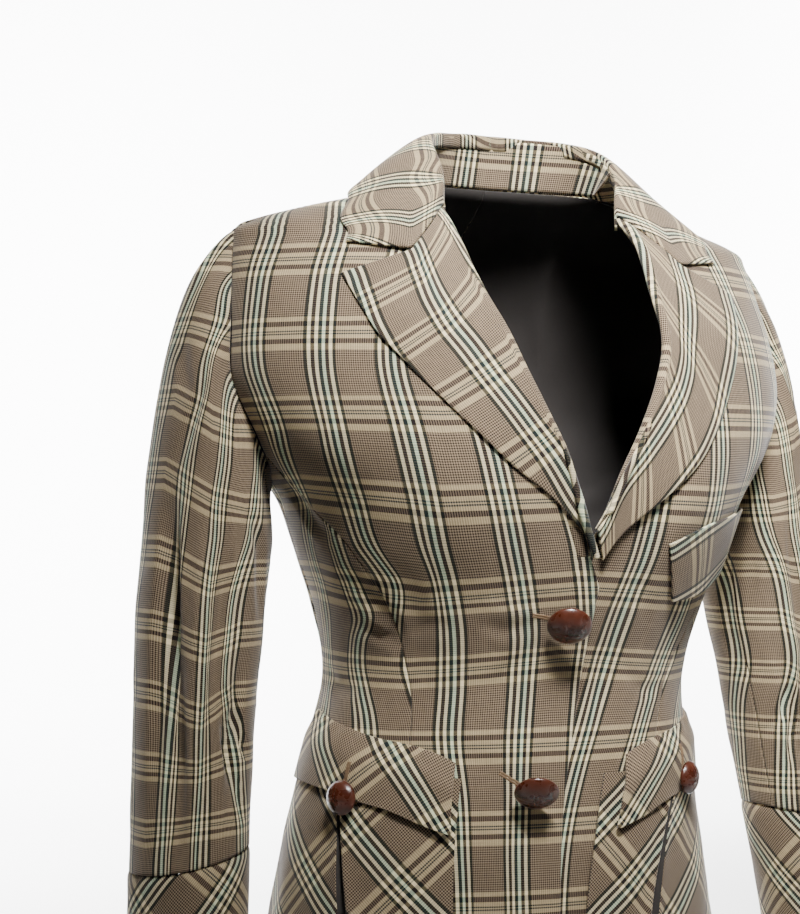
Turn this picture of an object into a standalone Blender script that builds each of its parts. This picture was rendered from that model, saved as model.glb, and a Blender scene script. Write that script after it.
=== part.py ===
"""A fitted plaid blazer for a woman, filled out as it is worn, with nobody in it.

Metres, +Z up. The front faces -Y and +X is the wearer's left. The origin is the middle of the
neck opening, level with the neck ends of the shoulder seams, where the wearer's shoulders hold it.

The body is one surface of rings, and a point on it is a turn in degrees (0 at the centre front,
90 at the wearer's left side, 180 at the centre back) and a height. Each cloth piece is a grid on
that surface, or on the sleeve's, made into a wall.
"""

import math

import bmesh
import bpy
import numpy as np
from mathutils import Quaternion, Vector

CLOTH = 0.0016  # one layer of suiting
FOLDED = 0.0020  # a collar, lapel, flap or cuff, which is faced
SEAM_GAP = 0.0004  # between two pieces that a seam joins
LAID_GAP = 0.0005  # between a piece and the one it lies on

HEM = -0.590
UNDERARM = -0.207
SHOULDER_TIP = -0.0355
NECK_BACK = 0.006
SIDE_SEAM = 97.0
FRONT_EXTENSION = 0.018  # how far each front passes the centre front
FRONT_CORNER = 0.045  # rounding of the fronts' lower corners
SEAM_TURN = 0.20  # half of a seam's gap, as a turn about the body
SHOULDER_TURN = 1.00  # the same at the shoulder seam, where the body turns sharply
UNDERLAP = 0.0008  # between the two fronts where they cross
UNDERLAP_TURN = 13.0  # how far round the left front stays behind the right one

# Rings of the body. front and back are depths from the ring's centre, and power is the roundness
# of the ring: 2 is an ellipse, more is squarer.
TORSO = (
    ("height", "half_width", "front", "back", "centre", "power"),
    (-0.600, 0.164, 0.122, 0.120, 0.000, 2.2),
    (-0.500, 0.151, 0.118, 0.114, 0.000, 2.2),
    (-0.430, 0.1395, 0.112, 0.100, 0.000, 2.2),
    (-0.380, 0.132, 0.104, 0.088, 0.000, 2.2),
    (-0.335, 0.1275, 0.100, 0.082, 0.000, 2.2),
    (-0.290, 0.137, 0.109, 0.088, 0.000, 2.3),
    (-0.250, 0.151, 0.117, 0.097, 0.000, 2.4),
    (-0.215, 0.163, 0.121, 0.104, 0.001, 2.6),
    (-0.180, 0.190, 0.121, 0.108, 0.002, 2.4),
    (-0.140, 0.207, 0.118, 0.110, 0.006, 2.2),
    (-0.100, 0.206, 0.109, 0.106, 0.010, 2.1),
    (-0.070, 0.202, 0.095, 0.098, 0.014, 2.0),
    (-0.045, 0.1965, 0.080, 0.086, 0.018, 2.0),
    (-0.0355, 0.1930, 0.071, 0.080, 0.019, 2.0),
    (-0.0200, 0.1500, 0.050, 0.066, 0.016, 2.0),
    (-0.0080, 0.1020, 0.037, 0.048, 0.012, 2.0),
    (0.0000, 0.0700, 0.028, 0.038, 0.010, 2.0),
    (0.0100, 0.0560, 0.022, 0.036, 0.009, 2.0),
)

# The hips are turned a little to the wearer's right and stand to that side of the shoulders.
STANCE = (
    ("height", "turn", "lean"),
    (-0.600, -9.0, -0.0170),
    (-0.420, -8.5, -0.0150),
    (-0.330, -4.5, -0.0050),
    (-0.270, -2.0, -0.0020),
    (-0.200, 0.0, 0.0),
    (0.050, 0.0, 0.0),
)

BUST_HEIGHT = -0.218
BUST_APART = 0.086  # each side of the centre front
BUST_WIDTH = 0.050
BUST_REACH = 0.050
BUST_LIFT = 0.007

# The seam where a sleeve is set in: turn about the arm, from the shoulder tip (0) by the front
# (90) and the underarm (180) to the back (270), and where that is on the body.
ARMHOLE = (
    ("about_arm", "turn", "height"),
    (0.0, 90.0, SHOULDER_TIP),
    (45.0, 85.0, -0.078),
    (90.0, 84.0, -0.130),
    (135.0, 84.0, -0.178),
    (180.0, SIDE_SEAM, UNDERARM),
    (225.0, 119.0, -0.178),
    (270.0, 127.0, -0.125),
    (315.0, 118.0, -0.072),
    (360.0, 90.0, SHOULDER_TIP),
)

# The direction in which the sleeve leaves that seam: out sideways, forward and down.
SLEEVE_START = (
    ("about_arm", "out", "forward", "down"),
    (0.0, 0.90, 0.00, 0.44),
    (45.0, 0.78, 0.38, 0.50),
    (90.0, 0.72, 0.52, 0.46),
    (135.0, 0.40, 0.48, 0.78),
    (180.0, 0.28, 0.00, 0.96),
    (225.0, 0.45, -0.42, 0.78),
    (270.0, 0.72, -0.50, 0.48),
    (315.0, 0.85, -0.34, 0.40),
    (360.0, 0.90, 0.00, 0.44),
)

# The sleeve below the underarm: its middle, and half its width sideways and front to back.
SLEEVE = (
    ("height", "out", "back", "half_width", "half_depth"),
    (-0.565, 0.2405, -0.030, 0.0385, 0.0410),
    (-0.500, 0.2365, -0.018, 0.0380, 0.0415),
    (-0.450, 0.2325, -0.007, 0.0380, 0.0430),
    (-0.400, 0.2280, 0.003, 0.0385, 0.0450),
    (-0.350, 0.2235, 0.012, 0.0400, 0.0475),
    (-0.300, 0.2180, 0.019, 0.0420, 0.0500),
    (-0.250, 0.2120, 0.024, 0.0425, 0.0520),
)
SLEEVE_TOP_RING = -0.250
CUFF_SEAM = -0.448
CUFF_END = -0.560
FRONT_ARM_SEAM = 150.0  # about the arm
BACK_ARM_SEAM = 262.0

# Creases that run down a sleeve: a trough is negative. half_width is about the arm.
SLEEVE_FOLDS = (
    ("about_arm", "half_width", "top", "bottom", "height"),
    (36.0, 13.0, -0.190, -0.450, -0.0075),
    (70.0, 14.0, -0.220, -0.470, 0.0030),
    (112.0, 12.0, -0.300, -0.440, -0.0050),
    (300.0, 18.0, -0.230, -0.430, -0.0045),
    (215.0, 16.0, -0.240, -0.400, -0.0035),
)

# Where each front folds back as its lapel, from the break to the neck: height, and the distance
# from the centre front to its own side. The left one stands off in a longer curve.
ROLL_RIGHT = (
    ("height", "aside"),
    (-0.2750, -0.0178),
    (-0.2560, -0.0110),
    (-0.2320, 0.0000),
    (-0.2140, 0.0066),
    (-0.1900, 0.0150),
    (-0.1635, 0.0280),
    (-0.1345, 0.0410),
    (-0.1070, 0.0510),
    (-0.0890, 0.0580),
    (-0.0700, 0.0625),
    (-0.0485, 0.0655),
    (-0.0200, 0.0665),
    (0.0000, 0.0670),
)
ROLL_LEFT = (
    ("height", "aside"),
    (-0.2750, -0.0178),
    (-0.2560, -0.0050),
    (-0.2370, 0.0073),
    (-0.1965, 0.0233),
    (-0.1690, 0.0377),
    (-0.1360, 0.0544),
    (-0.1200, 0.0610),
    (-0.1040, 0.0643),
    (-0.0840, 0.0655),
    (-0.0600, 0.0700),
    (-0.0390, 0.0735),
    (-0.0200, 0.0710),
    (0.0000, 0.0670),
)
BREAK = -0.2740

# The lapels' cut edges, from the lower end round to the tip.
EDGE_RIGHT = (
    ("along", "height", "aside"),
    (0.00, -0.2520, -0.0085),
    (0.10, -0.2405, -0.0008),
    (0.20, -0.2186, 0.0228),
    (0.32, -0.1947, 0.0567),
    (0.44, -0.1696, 0.0835),
    (0.56, -0.1480, 0.1040),
    (0.68, -0.1305, 0.1187),
    (0.80, -0.1110, 0.1334),
    (0.90, -0.0938, 0.1400),
    (1.00, -0.0717, 0.1467),
)
EDGE_LEFT = (
    ("along", "height", "aside"),
    (0.00, -0.2560, 0.0160),
    (0.10, -0.2440, 0.0235),
    (0.20, -0.2350, 0.0320),
    (0.32, -0.2200, 0.0510),
    (0.44, -0.2040, 0.0710),
    (0.56, -0.1840, 0.0910),
    (0.68, -0.1590, 0.1090),
    (0.80, -0.1290, 0.1260),
    (0.90, -0.1020, 0.1380),
    (1.00, -0.0740, 0.1467),
)
FOLD_START_RIGHT = -0.2540
FOLD_START_LEFT = -0.2360
GORGE_TOP = (-0.0226, 0.0655)  # height and distance aside, where the gorge seam meets the fold
NOTCH = (-0.0555, 0.1005)  # the inner end of the notch, and of the gorge seam
COLLAR_TIP = (-0.0500, 0.1390)
NOTCH_SHARE = 0.46  # of a front end, which is gorge seam before it is open notch

# The collar from its front end (0) to the centre back (1). fold is the top, where the fall turns
# down over the stand; edge is the fall's cut edge, on the body at that turn and height.
COLLAR = (
    ("along", "fold_x", "fold_y", "fold_z", "edge_turn", "edge_height", "edge_lift"),
    (0.00, 0.0658, -0.0330, -0.0210, 44.7, -0.0500, 0.003),
    (0.14, 0.0670, -0.0270, -0.0020, 44.5, -0.0385, 0.003),
    (0.30, 0.0685, -0.0150, 0.0170, 56.0, -0.0205, 0.004),
    (0.46, 0.0655, 0.0040, 0.0320, 84.0, -0.0115, 0.005),
    (0.64, 0.0515, 0.0270, 0.0410, 118.0, -0.0115, 0.006),
    (0.82, 0.0275, 0.0430, 0.0450, 150.0, -0.0155, 0.006),
    (1.00, 0.0000, 0.0490, 0.0460, 180.0, -0.0170, 0.006),
)
COLLAR_SHIFT = 0.006  # the collar stands this far to the wearer's left
STAND_FRONT = 0.70  # how far forward the stand reaches


def column(table, name):
    """One named column of a table."""
    place = table[0].index(name)
    return np.array([row[place] for row in table[1:]], dtype=float)


def smooth(table, along, name, at):
    """A column read at any place between the rows, on a smooth curve through them."""
    xs = column(table, along)
    ys = column(table, name)
    slopes = np.gradient(ys, xs)
    at = np.clip(np.asarray(at, dtype=float), xs[0], xs[-1])
    row = np.clip(np.searchsorted(xs, at, side="right") - 1, 0, len(xs) - 2)
    step = xs[row + 1] - xs[row]
    t = (at - xs[row]) / step
    rise = t * t * (3 - 2 * t)
    lean = step * (slopes[row] * t * (1 - t) ** 2 - slopes[row + 1] * t * t * (1 - t))
    return ys[row] + (ys[row + 1] - ys[row]) * rise + lean


def ease(t):
    """0 below 0, 1 above 1 and smooth between."""
    t = np.clip(t, 0.0, 1.0)
    return t * t * (3 - 2 * t)


def bell(t):
    """1 at 0, falling smoothly to 0 at -1 and 1."""
    return (1 - np.clip(np.abs(t), 0.0, 1.0) ** 2) ** 2


def body(turn, height):
    """The outer face of the worn body at a turn and a height."""
    turn, height = np.broadcast_arrays(np.asarray(turn, float), np.asarray(height, float))
    sine, cosine = np.sin(np.radians(turn)), np.cos(np.radians(turn))
    power = 2 / smooth(TORSO, "height", "power", height)
    half_width = smooth(TORSO, "height", "half_width", height)
    front = smooth(TORSO, "height", "front", height)
    back = smooth(TORSO, "height", "back", height)
    depth = np.where(cosine > 0, front, back)
    x = half_width * np.sign(sine) * np.abs(sine) ** power
    y = smooth(TORSO, "height", "centre", height) - depth * np.sign(cosine) * np.abs(cosine) ** power
    across = (np.abs(x) - BUST_APART) / BUST_WIDTH
    up = (height - BUST_HEIGHT) / BUST_REACH
    y = y - BUST_LIFT * np.exp(-across**2 - up**2) * ease(cosine * 3)
    spin = np.radians(smooth(STANCE, "height", "turn", height))
    lean = smooth(STANCE, "height", "lean", height)
    return np.stack(
        [x * np.cos(spin) - y * np.sin(spin) + lean, x * np.sin(spin) + y * np.cos(spin), height],
        axis=-1,
    )


def outward(turn, height):
    """The direction straight out of the body there."""
    step = 0.5
    rise = 0.001
    aside = body(turn + step, height) - body(turn - step, height)
    up = body(turn, np.asarray(height) + rise) - body(turn, np.asarray(height) - rise)
    normal = np.cross(aside, up)
    return normal / np.linalg.norm(normal, axis=-1, keepdims=True)


def on_body(turn, height, lift):
    """A point that stands off the body."""
    return body(turn, height) + outward(turn, height) * np.asarray(lift)[..., None]


def turn_at(aside, height):
    """The turn at which the front of the body is that far from the centre front."""
    half_width = smooth(TORSO, "height", "half_width", height)
    power = smooth(TORSO, "height", "power", height) / 2
    share = np.clip(np.abs(aside) / half_width, 0.0, 1.0)
    return np.sign(aside) * np.degrees(np.arcsin(share**power))


def between(low, high, first, last, up):
    """A smooth grid of points inside four edges: rows low and high, columns first and last.

    Each row leaves the first column straight sideways and reaches the last one end on.
    """
    quarter = np.radians(90.0) * np.linspace(0.0, 1.0, len(low))
    share = np.stack([np.sin(quarter), 1 - np.cos(quarter), 1 - np.cos(quarter)], axis=-1)
    low_sag = low - low[0] - (low[-1] - low[0]) * share
    high_sag = high - high[0] - (high[-1] - high[0]) * share
    columns = first[:, None] + (last - first)[:, None] * share
    climbed = ease(up)[:, None, None]
    return columns + low_sag * (1 - climbed) + high_sag * climbed


def collection(name):
    made = bpy.data.collections.new(name)
    bpy.context.scene.collection.children.link(made)
    return made


def material(name, colour, roughness):
    made = bpy.data.materials.new(name)
    made.use_nodes = True
    shader = made.node_tree.nodes["Principled BSDF"]
    shader.inputs["Base Color"].default_value = (*colour, 1.0)
    shader.inputs["Roughness"].default_value = roughness
    return made


def wall(name, points, thickness, finish, flip=False):
    """A grid of points made into a closed cloth wall, which grows inward from them."""
    rows, columns = points.shape[:2]
    made = bmesh.new()
    bmesh.ops.create_grid(made, x_segments=columns - 1, y_segments=rows - 1, size=1.0)
    made.verts.ensure_lookup_table()
    for vert, point in zip(made.verts, points.reshape(-1, 3)):
        vert.co = point
    if flip:
        bmesh.ops.reverse_faces(made, faces=made.faces)
    mesh = bpy.data.meshes.new(name)
    made.to_mesh(mesh)
    made.free()
    mesh.shade_smooth()
    mesh.materials.append(finish)
    piece = bpy.data.objects.new(name, mesh)
    BLAZER.objects.link(piece)
    solid = piece.modifiers.new("cloth", "SOLIDIFY")
    solid.thickness = thickness
    solid.offset = -1.0
    solid.use_even_offset = True
    return piece


for thing in list(bpy.data.objects):
    bpy.data.objects.remove(thing)

BLAZER = collection("blazer")
PLAID = material("plaid_suiting", (0.22, 0.19, 0.14), 0.85)
LEATHER = material("brown_leather", (0.055, 0.021, 0.011), 0.35)

SIDES = {"right": -1.0, "left": 1.0}


# The seam that shapes each front: it leaves the armhole, curves in under the bust and runs down to
# the hem, and parts the front from the narrower side front.
PANEL_ARM = 147.0  # where about the arm it reaches the armhole
PANEL_TOP = -0.1886  # and the height there
PANEL_SEAM = (
    ("height", "turn"),
    (HEM, 36.5),
    (-0.4500, 36.0),
    (-0.4000, 37.5),
    (-0.3565, 41.0),
    (-0.3210, 46.7),
    (-0.2925, 51.5),
    (-0.2610, 59.5),
    (-0.2405, 67.5),
    (-0.2250, 77.5),
    (-0.2080, 84.0),
    (PANEL_TOP, 86.3),
)

# The fronts. Rows climb from the hem to the shoulder seam: side is the height at the panel seam,
# about_arm the place on the armhole above it, and front the height at the edge or the fold.
FRONT_ROWS = (
    ("row", "side", "about_arm", "front"),
    (0.00, HEM, PANEL_ARM, HEM),
    (0.08, -0.545, PANEL_ARM, -0.553),
    (0.36, -0.360, PANEL_ARM, -0.385),
    (0.50, -0.275, PANEL_ARM, -0.295),
    (0.58, -0.232, PANEL_ARM, -0.240),
    (0.66, PANEL_TOP, PANEL_ARM, -0.188),
    (0.80, -0.148, 105.0, -0.112),
    (0.90, -0.088, 54.0, -0.056),
    (1.00, SHOULDER_TIP, 0.0, -0.001),
)
UNDERARM_ROW = 0.66

# The side fronts have the same rows: side is the height at the side seam.
SIDE_FRONT_ROWS = (
    ("row", "side"),
    (0.00, HEM),
    (0.08, -0.545),
    (0.36, -0.362),
    (0.50, -0.284),
    (0.58, -0.245),
    (0.66, UNDERARM),
)

# The backs, in the same way: centre is the height at the centre back seam.
BACK_ROWS = (
    ("row", "side", "about_arm", "centre"),
    (0.00, HEM, 180.0, HEM),
    (0.10, -0.540, 180.0, -0.540),
    (0.40, -0.350, 180.0, -0.350),
    (0.66, UNDERARM, 180.0, -0.185),
    (0.82, -0.130, 262.0, -0.100),
    (1.00, SHOULDER_TIP, 360.0, NECK_BACK),
)
NECK_SHARE = 0.25  # of a back's top edge, which is neckline before it is shoulder seam
SHOULDER_CROWN = 0.22  # rounds each back forward over the shoulder


def panel_rows():
    """The rows of a front: the ones below the armhole are those of the side front beside it."""
    return np.concatenate([np.linspace(0.0, UNDERARM_ROW, 25), np.linspace(UNDERARM_ROW, 1.0, 12)[1:]])


def front_side(up):
    """A front's edge along the panel seam and then the armhole, as turns and heights."""
    about_arm = smooth(FRONT_ROWS, "row", "about_arm", up)
    on_armhole = up > UNDERARM_ROW - 1e-6
    above = smooth(ARMHOLE, "about_arm", "height", about_arm)
    height = np.where(on_armhole, above, smooth(FRONT_ROWS, "row", "side", up))
    below = smooth(PANEL_SEAM, "height", "turn", height)
    return np.where(on_armhole, smooth(ARMHOLE, "about_arm", "turn", about_arm), below), height


def back_side(up):
    """A back's edge along the side seam and then the armhole, as turns and heights."""
    about_arm = smooth(BACK_ROWS, "row", "about_arm", up)
    on_armhole = up > UNDERARM_ROW + 1e-6
    turn = np.where(on_armhole, smooth(ARMHOLE, "about_arm", "turn", about_arm), SIDE_SEAM)
    above = smooth(ARMHOLE, "about_arm", "height", about_arm)
    below = np.minimum(smooth(BACK_ROWS, "row", "side", up), UNDERARM)
    return turn, np.where(on_armhole, above, below)


def front(name, side, roll, under):
    """A front, from the hem to the shoulder seam and from its edge or fold to the panel seam."""
    up = panel_rows()
    across = np.linspace(0.0, 1.0, 11)
    side_turn, side_height = front_side(up)
    side_turn = side_turn - SEAM_TURN
    front_height = smooth(FRONT_ROWS, "row", "front", up)
    dip = np.clip((HEM + FRONT_CORNER - front_height) / FRONT_CORNER, 0.0, 1.0)
    edge = -FRONT_EXTENSION + FRONT_CORNER * (1 - np.sqrt(1 - dip**2))
    fold = smooth(roll, "height", "aside", front_height)
    aside = np.where(front_height > BREAK, fold, edge)
    front_turn = turn_at(aside, front_height)
    turn = front_turn[:, None] + (side_turn - front_turn)[:, None] * across
    height = front_height[:, None] + (side_height - front_height)[:, None] * across
    reach = ease((up - 0.86) / 0.14)[:, None]
    turn = turn + (90.0 - SHOULDER_TURN - turn[-1]) * reach
    lift = np.zeros_like(turn)
    if under:
        lift = -(CLOTH + UNDERLAP) * (1 - ease((turn - UNDERLAP_TURN) / 10.0))
    return wall(name, on_body(side * turn, height, lift), CLOTH, PLAID, flip=side < 0)


def side_front(name, side):
    """A side front, from the panel seam to the side seam and up to the bottom of the armhole."""
    up = panel_rows()
    up = up[up < UNDERARM_ROW + 1e-6]
    across = np.linspace(0.0, 1.0, 8)
    seam_turn, seam_height = front_side(up)
    seam_turn = seam_turn + SEAM_TURN
    side_height = smooth(SIDE_FRONT_ROWS, "row", "side", up)
    turn = seam_turn[:, None] + (SIDE_SEAM - SEAM_TURN - seam_turn)[:, None] * across
    height = seam_height[:, None] + (side_height - seam_height)[:, None] * across
    about_arm = PANEL_ARM + (180.0 - PANEL_ARM) * across
    top_turn = smooth(ARMHOLE, "about_arm", "turn", about_arm) + SEAM_TURN * (1 - 2 * across)
    top_height = smooth(ARMHOLE, "about_arm", "height", about_arm)
    reach = ease((up / UNDERARM_ROW - 0.75) / 0.25)[:, None]
    turn = turn + (top_turn - turn[-1]) * reach
    height = height + (top_height - height[-1]) * reach
    return wall(name, body(side * turn, height), CLOTH, PLAID, flip=side < 0)


def back(name, side):
    """A back, from the centre back seam to the side seam, armhole and shoulder seam."""
    up = np.concatenate([np.linspace(0.0, UNDERARM_ROW, 17), np.linspace(UNDERARM_ROW, 1.0, 12)[1:]])
    across = np.linspace(0.0, 1.0, 13)
    side_turn, side_height = back_side(up)
    side_turn = side_turn + SEAM_TURN
    side_turn[-1] = 90.0 + SHOULDER_TURN
    centre_turn = 180.0 - SEAM_TURN * (1 + 2 * ease((up - 0.8) / 0.2))
    centre_height = smooth(BACK_ROWS, "row", "centre", up)
    turn = centre_turn[:, None] + (side_turn - centre_turn)[:, None] * across
    height = centre_height[:, None] + (side_height - centre_height)[:, None] * across
    points = body(side * turn, height)
    on_neck = np.clip(across / NECK_SHARE, 0.0, 1.0)
    spread = np.sin(np.radians(90.0) * across)
    neck_spread = math.sin(math.radians(90.0) * NECK_SHARE)
    on_shoulder = np.clip((spread - neck_spread) / (1 - neck_spread), 0.0, 1.0)
    top_turn = centre_turn[-1] + (90.0 + SHOULDER_TURN - centre_turn[-1]) * on_neck
    top_height = NECK_BACK * (1 - on_neck**2) + SHOULDER_TIP * on_shoulder
    upper = np.flatnonzero(up >= UNDERARM_ROW)
    share = (up[upper] - UNDERARM_ROW) / (1 - UNDERARM_ROW)
    top = body(side * top_turn, top_height)
    points[upper] = between(points[upper[0]], top, points[upper, 0], points[upper, -1], share)
    crown = SHOULDER_CROWN * share**6 * (1 - share)
    points[upper, :, 2] += crown[:, None] * ease((across - 0.12) / 0.25) * ease((1 - across) / 0.25)
    return wall(name, points, CLOTH, PLAID, flip=side > 0)


def sleeve_middle(height):
    return smooth(SLEEVE, "height", "out", height), smooth(SLEEVE, "height", "back", height)


def sleeve_ring(side, about_arm, height):
    """A point of the sleeve below the underarm."""
    out, rearward = sleeve_middle(height)
    wide = smooth(SLEEVE, "height", "half_width", height)
    deep = smooth(SLEEVE, "height", "half_depth", height)
    fold = np.zeros_like(height)
    for centre, half, top, bottom, rise in SLEEVE_FOLDS[1:]:
        across = (about_arm - centre + 180.0) % 360.0 - 180.0
        fold = fold + rise * bell(across / half) * bell((height - (top + bottom) / 2) / (top - bottom) * 2)
    angle = np.radians(about_arm)
    x = out + (wide + fold) * np.cos(angle)
    y = rearward - (deep + fold) * np.sin(angle)
    return np.stack([side * x, y, height], axis=-1)


def sleeve_head(side, about_arm, share):
    """A point of the sleeve between the armhole (0) and its top ring (1)."""
    seam_turn = smooth(ARMHOLE, "about_arm", "turn", about_arm)
    seam_height = smooth(ARMHOLE, "about_arm", "height", about_arm)
    start = body(side * seam_turn, seam_height)
    leave = np.stack(
        [
            side * smooth(SLEEVE_START, "about_arm", "out", about_arm),
            -smooth(SLEEVE_START, "about_arm", "forward", about_arm),
            -smooth(SLEEVE_START, "about_arm", "down", about_arm),
        ],
        axis=-1,
    )
    leave = leave / np.linalg.norm(leave, axis=-1, keepdims=True)
    start = start + leave * SEAM_GAP * 2
    ring = np.full_like(about_arm, SLEEVE_TOP_RING)
    end = sleeve_ring(side, about_arm, ring)
    fall = sleeve_ring(side, about_arm, ring - 0.01) - end
    fall = fall / np.linalg.norm(fall, axis=-1, keepdims=True)
    length = np.linalg.norm(end - start, axis=-1, keepdims=True)
    t = share[..., None]
    first = 2 * t**3 - 3 * t**2 + 1
    return (
        first * start
        + (t**3 - 2 * t**2 + t) * leave * length * 0.75
        + (1 - first) * end
        + (t**3 - t**2) * fall * length * 0.9
    )


def cuff_seam(about_arm):
    """The height of the seam of a cuff, lower on its outer side."""
    return CUFF_SEAM - 0.008 * np.cos(np.radians(about_arm))


def sleeve(name, side, first, last, columns):
    """One of a sleeve's two pieces, between two places about the arm."""
    about = np.linspace(first, last, columns) % 360.0
    head = np.linspace(0.0, 1.0, 9)[:-1]
    below = np.linspace(0.0, 1.0, 9)
    turn, share = np.meshgrid(about, head)
    top = sleeve_head(side, turn, share)
    turn, share = np.meshgrid(about, below)
    bottom = cuff_seam(turn) + SEAM_GAP
    lower = sleeve_ring(side, turn, SLEEVE_TOP_RING + (bottom - SLEEVE_TOP_RING) * share)
    return wall(name, np.concatenate([top, lower]), CLOTH, PLAID, flip=side < 0)


def cuff(name, side):
    """The deep band at the end of a sleeve, cut across the cloth and sewn up at the back."""
    about = np.linspace(BACK_ARM_SEAM + 0.9, BACK_ARM_SEAM + 359.1, 22)
    turn, share = np.meshgrid(about, np.linspace(0.0, 1.0, 4))
    top = cuff_seam(turn)
    rings = sleeve_ring(side, turn, top + (CUFF_END - top) * share)
    return wall(name, rings, FOLDED, PLAID, flip=side < 0)


def front_end(share):
    """The line where a lapel and the collar meet, and then part at the notch: heights, asides."""
    gorge = np.clip(share / NOTCH_SHARE, 0.0, 1.0)
    open_part = np.clip((share - NOTCH_SHARE) / (1 - NOTCH_SHARE), 0.0, 1.0)
    height = GORGE_TOP[0] + (NOTCH[0] - GORGE_TOP[0]) * gorge
    aside = GORGE_TOP[1] + (NOTCH[1] - GORGE_TOP[1]) * gorge
    return height, aside, open_part


def laid_rise(across):
    """How far a lapel's face stands off the front, most beside the fold."""
    return LAID_GAP + FOLDED + 0.0030 * (1 - across) ** 1.5


def lapel(name, side, roll, cut_edge, fold_start):
    """A lapel, folded back and lying on its front, from its fold to its cut edge."""
    along = np.linspace(0.0, 1.0, 15)
    across = np.linspace(0.0, 1.0, 6)
    edge_height = smooth(cut_edge, "along", "height", along)
    edge_aside = smooth(cut_edge, "along", "aside", along)
    fold_height = fold_start + (GORGE_TOP[0] - fold_start) * along
    fold_aside = smooth(roll, "height", "aside", fold_height)
    aside = fold_aside[:, None] + (edge_aside - fold_aside)[:, None] * across
    height = fold_height[:, None] + (edge_height - fold_height)[:, None] * across
    end_height, end_aside, open_part = front_end(across)
    end_height = end_height + (edge_height[-1] - NOTCH[0]) * open_part - SEAM_GAP
    end_aside = end_aside + (edge_aside[-1] - NOTCH[1]) * open_part
    reach = ease((along - 0.6) / 0.4)[:, None]
    height = height + (end_height - height[-1]) * reach
    aside = aside + (end_aside - aside[-1]) * reach
    rise = np.broadcast_to(laid_rise(across), height.shape)
    points = on_body(side * turn_at(aside, height), height, rise)
    return wall(name, points, FOLDED, PLAID, flip=side < 0)


def collar_line(along, name):
    """A column of the collar's table, at places from one front end (-1) round the back (0)."""
    return smooth(COLLAR, "along", name, 1 - np.abs(along))


def collar_fold(along):
    """The collar's top line."""
    shift = COLLAR_SHIFT * ease((1 - np.abs(along)) / 0.25)
    x = np.sign(along) * collar_line(along, "fold_x") + shift
    return np.stack([x, collar_line(along, "fold_y"), collar_line(along, "fold_z")], axis=-1)


def collar():
    """The fall of the collar: it turns over the fold and lies on the shoulders."""
    along = np.linspace(-1.0, 1.0, 31)
    across = np.linspace(0.0, 1.0, 6)
    side = np.where(along < 0, -1.0, 1.0)
    fold = collar_fold(along)
    edge_turn = side * collar_line(along, "edge_turn")
    edge = on_body(edge_turn, collar_line(along, "edge_height"), collar_line(along, "edge_lift"))
    shoulder = fold + (edge - fold) * np.array([0.25, 0.25, 0.02])
    t = across[:, None, None]
    points = (1 - t) ** 2 * fold + 2 * t * (1 - t) * shoulder + t**2 * edge
    end_height, end_aside, open_part = front_end(across)
    end_height = end_height + (COLLAR_TIP[0] - NOTCH[0]) * open_part + SEAM_GAP
    end_aside = end_aside + (COLLAR_TIP[1] - NOTCH[1]) * open_part
    reach = ease((np.abs(along) - 0.78) / 0.22)
    for column_at, which in ((0, -1.0), (-1, 1.0)):
        end = on_body(which * turn_at(end_aside, end_height), end_height, laid_rise(across))
        shift = end - points[:, column_at]
        own = reach * (side == which)
        points = points + shift[:, None, :] * own[None, :, None]
    return wall("collar", points, FOLDED, PLAID)


def collar_stand():
    """The stand: it climbs from the neckline seam to the fold, inside the fall."""
    along = np.linspace(-STAND_FRONT, STAND_FRONT, 23)
    top = collar_fold(along) * np.array([0.965, 0.965, 1.0]) + np.array([0.0, 0.0, -0.0035])
    round_neck = np.abs(along) / STAND_FRONT
    turn = np.where(along < 0, -1.0, 1.0) * (180.0 - 104.0 * round_neck)
    height = NECK_BACK * (1 - np.clip(round_neck * 104.0 / 90.0, 0.0, 1.0) ** 2)
    base = body(turn, height) * np.array([0.985, 0.985, 1.0]) + np.array([0.0, 0.0, 0.0012])
    t = np.linspace(0.0, 1.0, 3)[:, None, None]
    return wall("collar_stand", base + (top - base) * t, CLOTH, PLAID)


# The hip pockets. A flap hangs over each patch: heights of its top seam and lower edge.
FLAP = (
    ("turn", "top", "bottom"),
    (21.0, -0.3885, -0.4315),
    (30.0, -0.3800, -0.4250),
    (37.0, -0.3760, -0.4190),
    (50.0, -0.3720, -0.4130),
    (68.0, -0.3655, -0.4070),
    (92.0, -0.3580, -0.4045),
)
FLAP_OUTER = 90.0
POCKET_TOP = -0.3960  # under the flap
POCKET_BOTTOM = -0.5450
POCKET_OUTER = 89.0
PLEAT_DEPTH = 0.0030
PATCH_RISE = 0.0032  # how far a patch stands off the front inside its edges
POCKETS = {
    # side: (flap's inner top and bottom turn, patch's inner top and bottom turn, pleat's aside at
    # the top and bottom)
    "right": (23.2, 21.0, 20.6, 17.0, 0.1175, 0.1120),
    "left": (24.5, 20.0, 17.0, 8.0, 0.1000, 0.0720),
}
PLEAT_OPEN = 0.0026  # half of the pleat's gap at the patch's lower end


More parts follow.
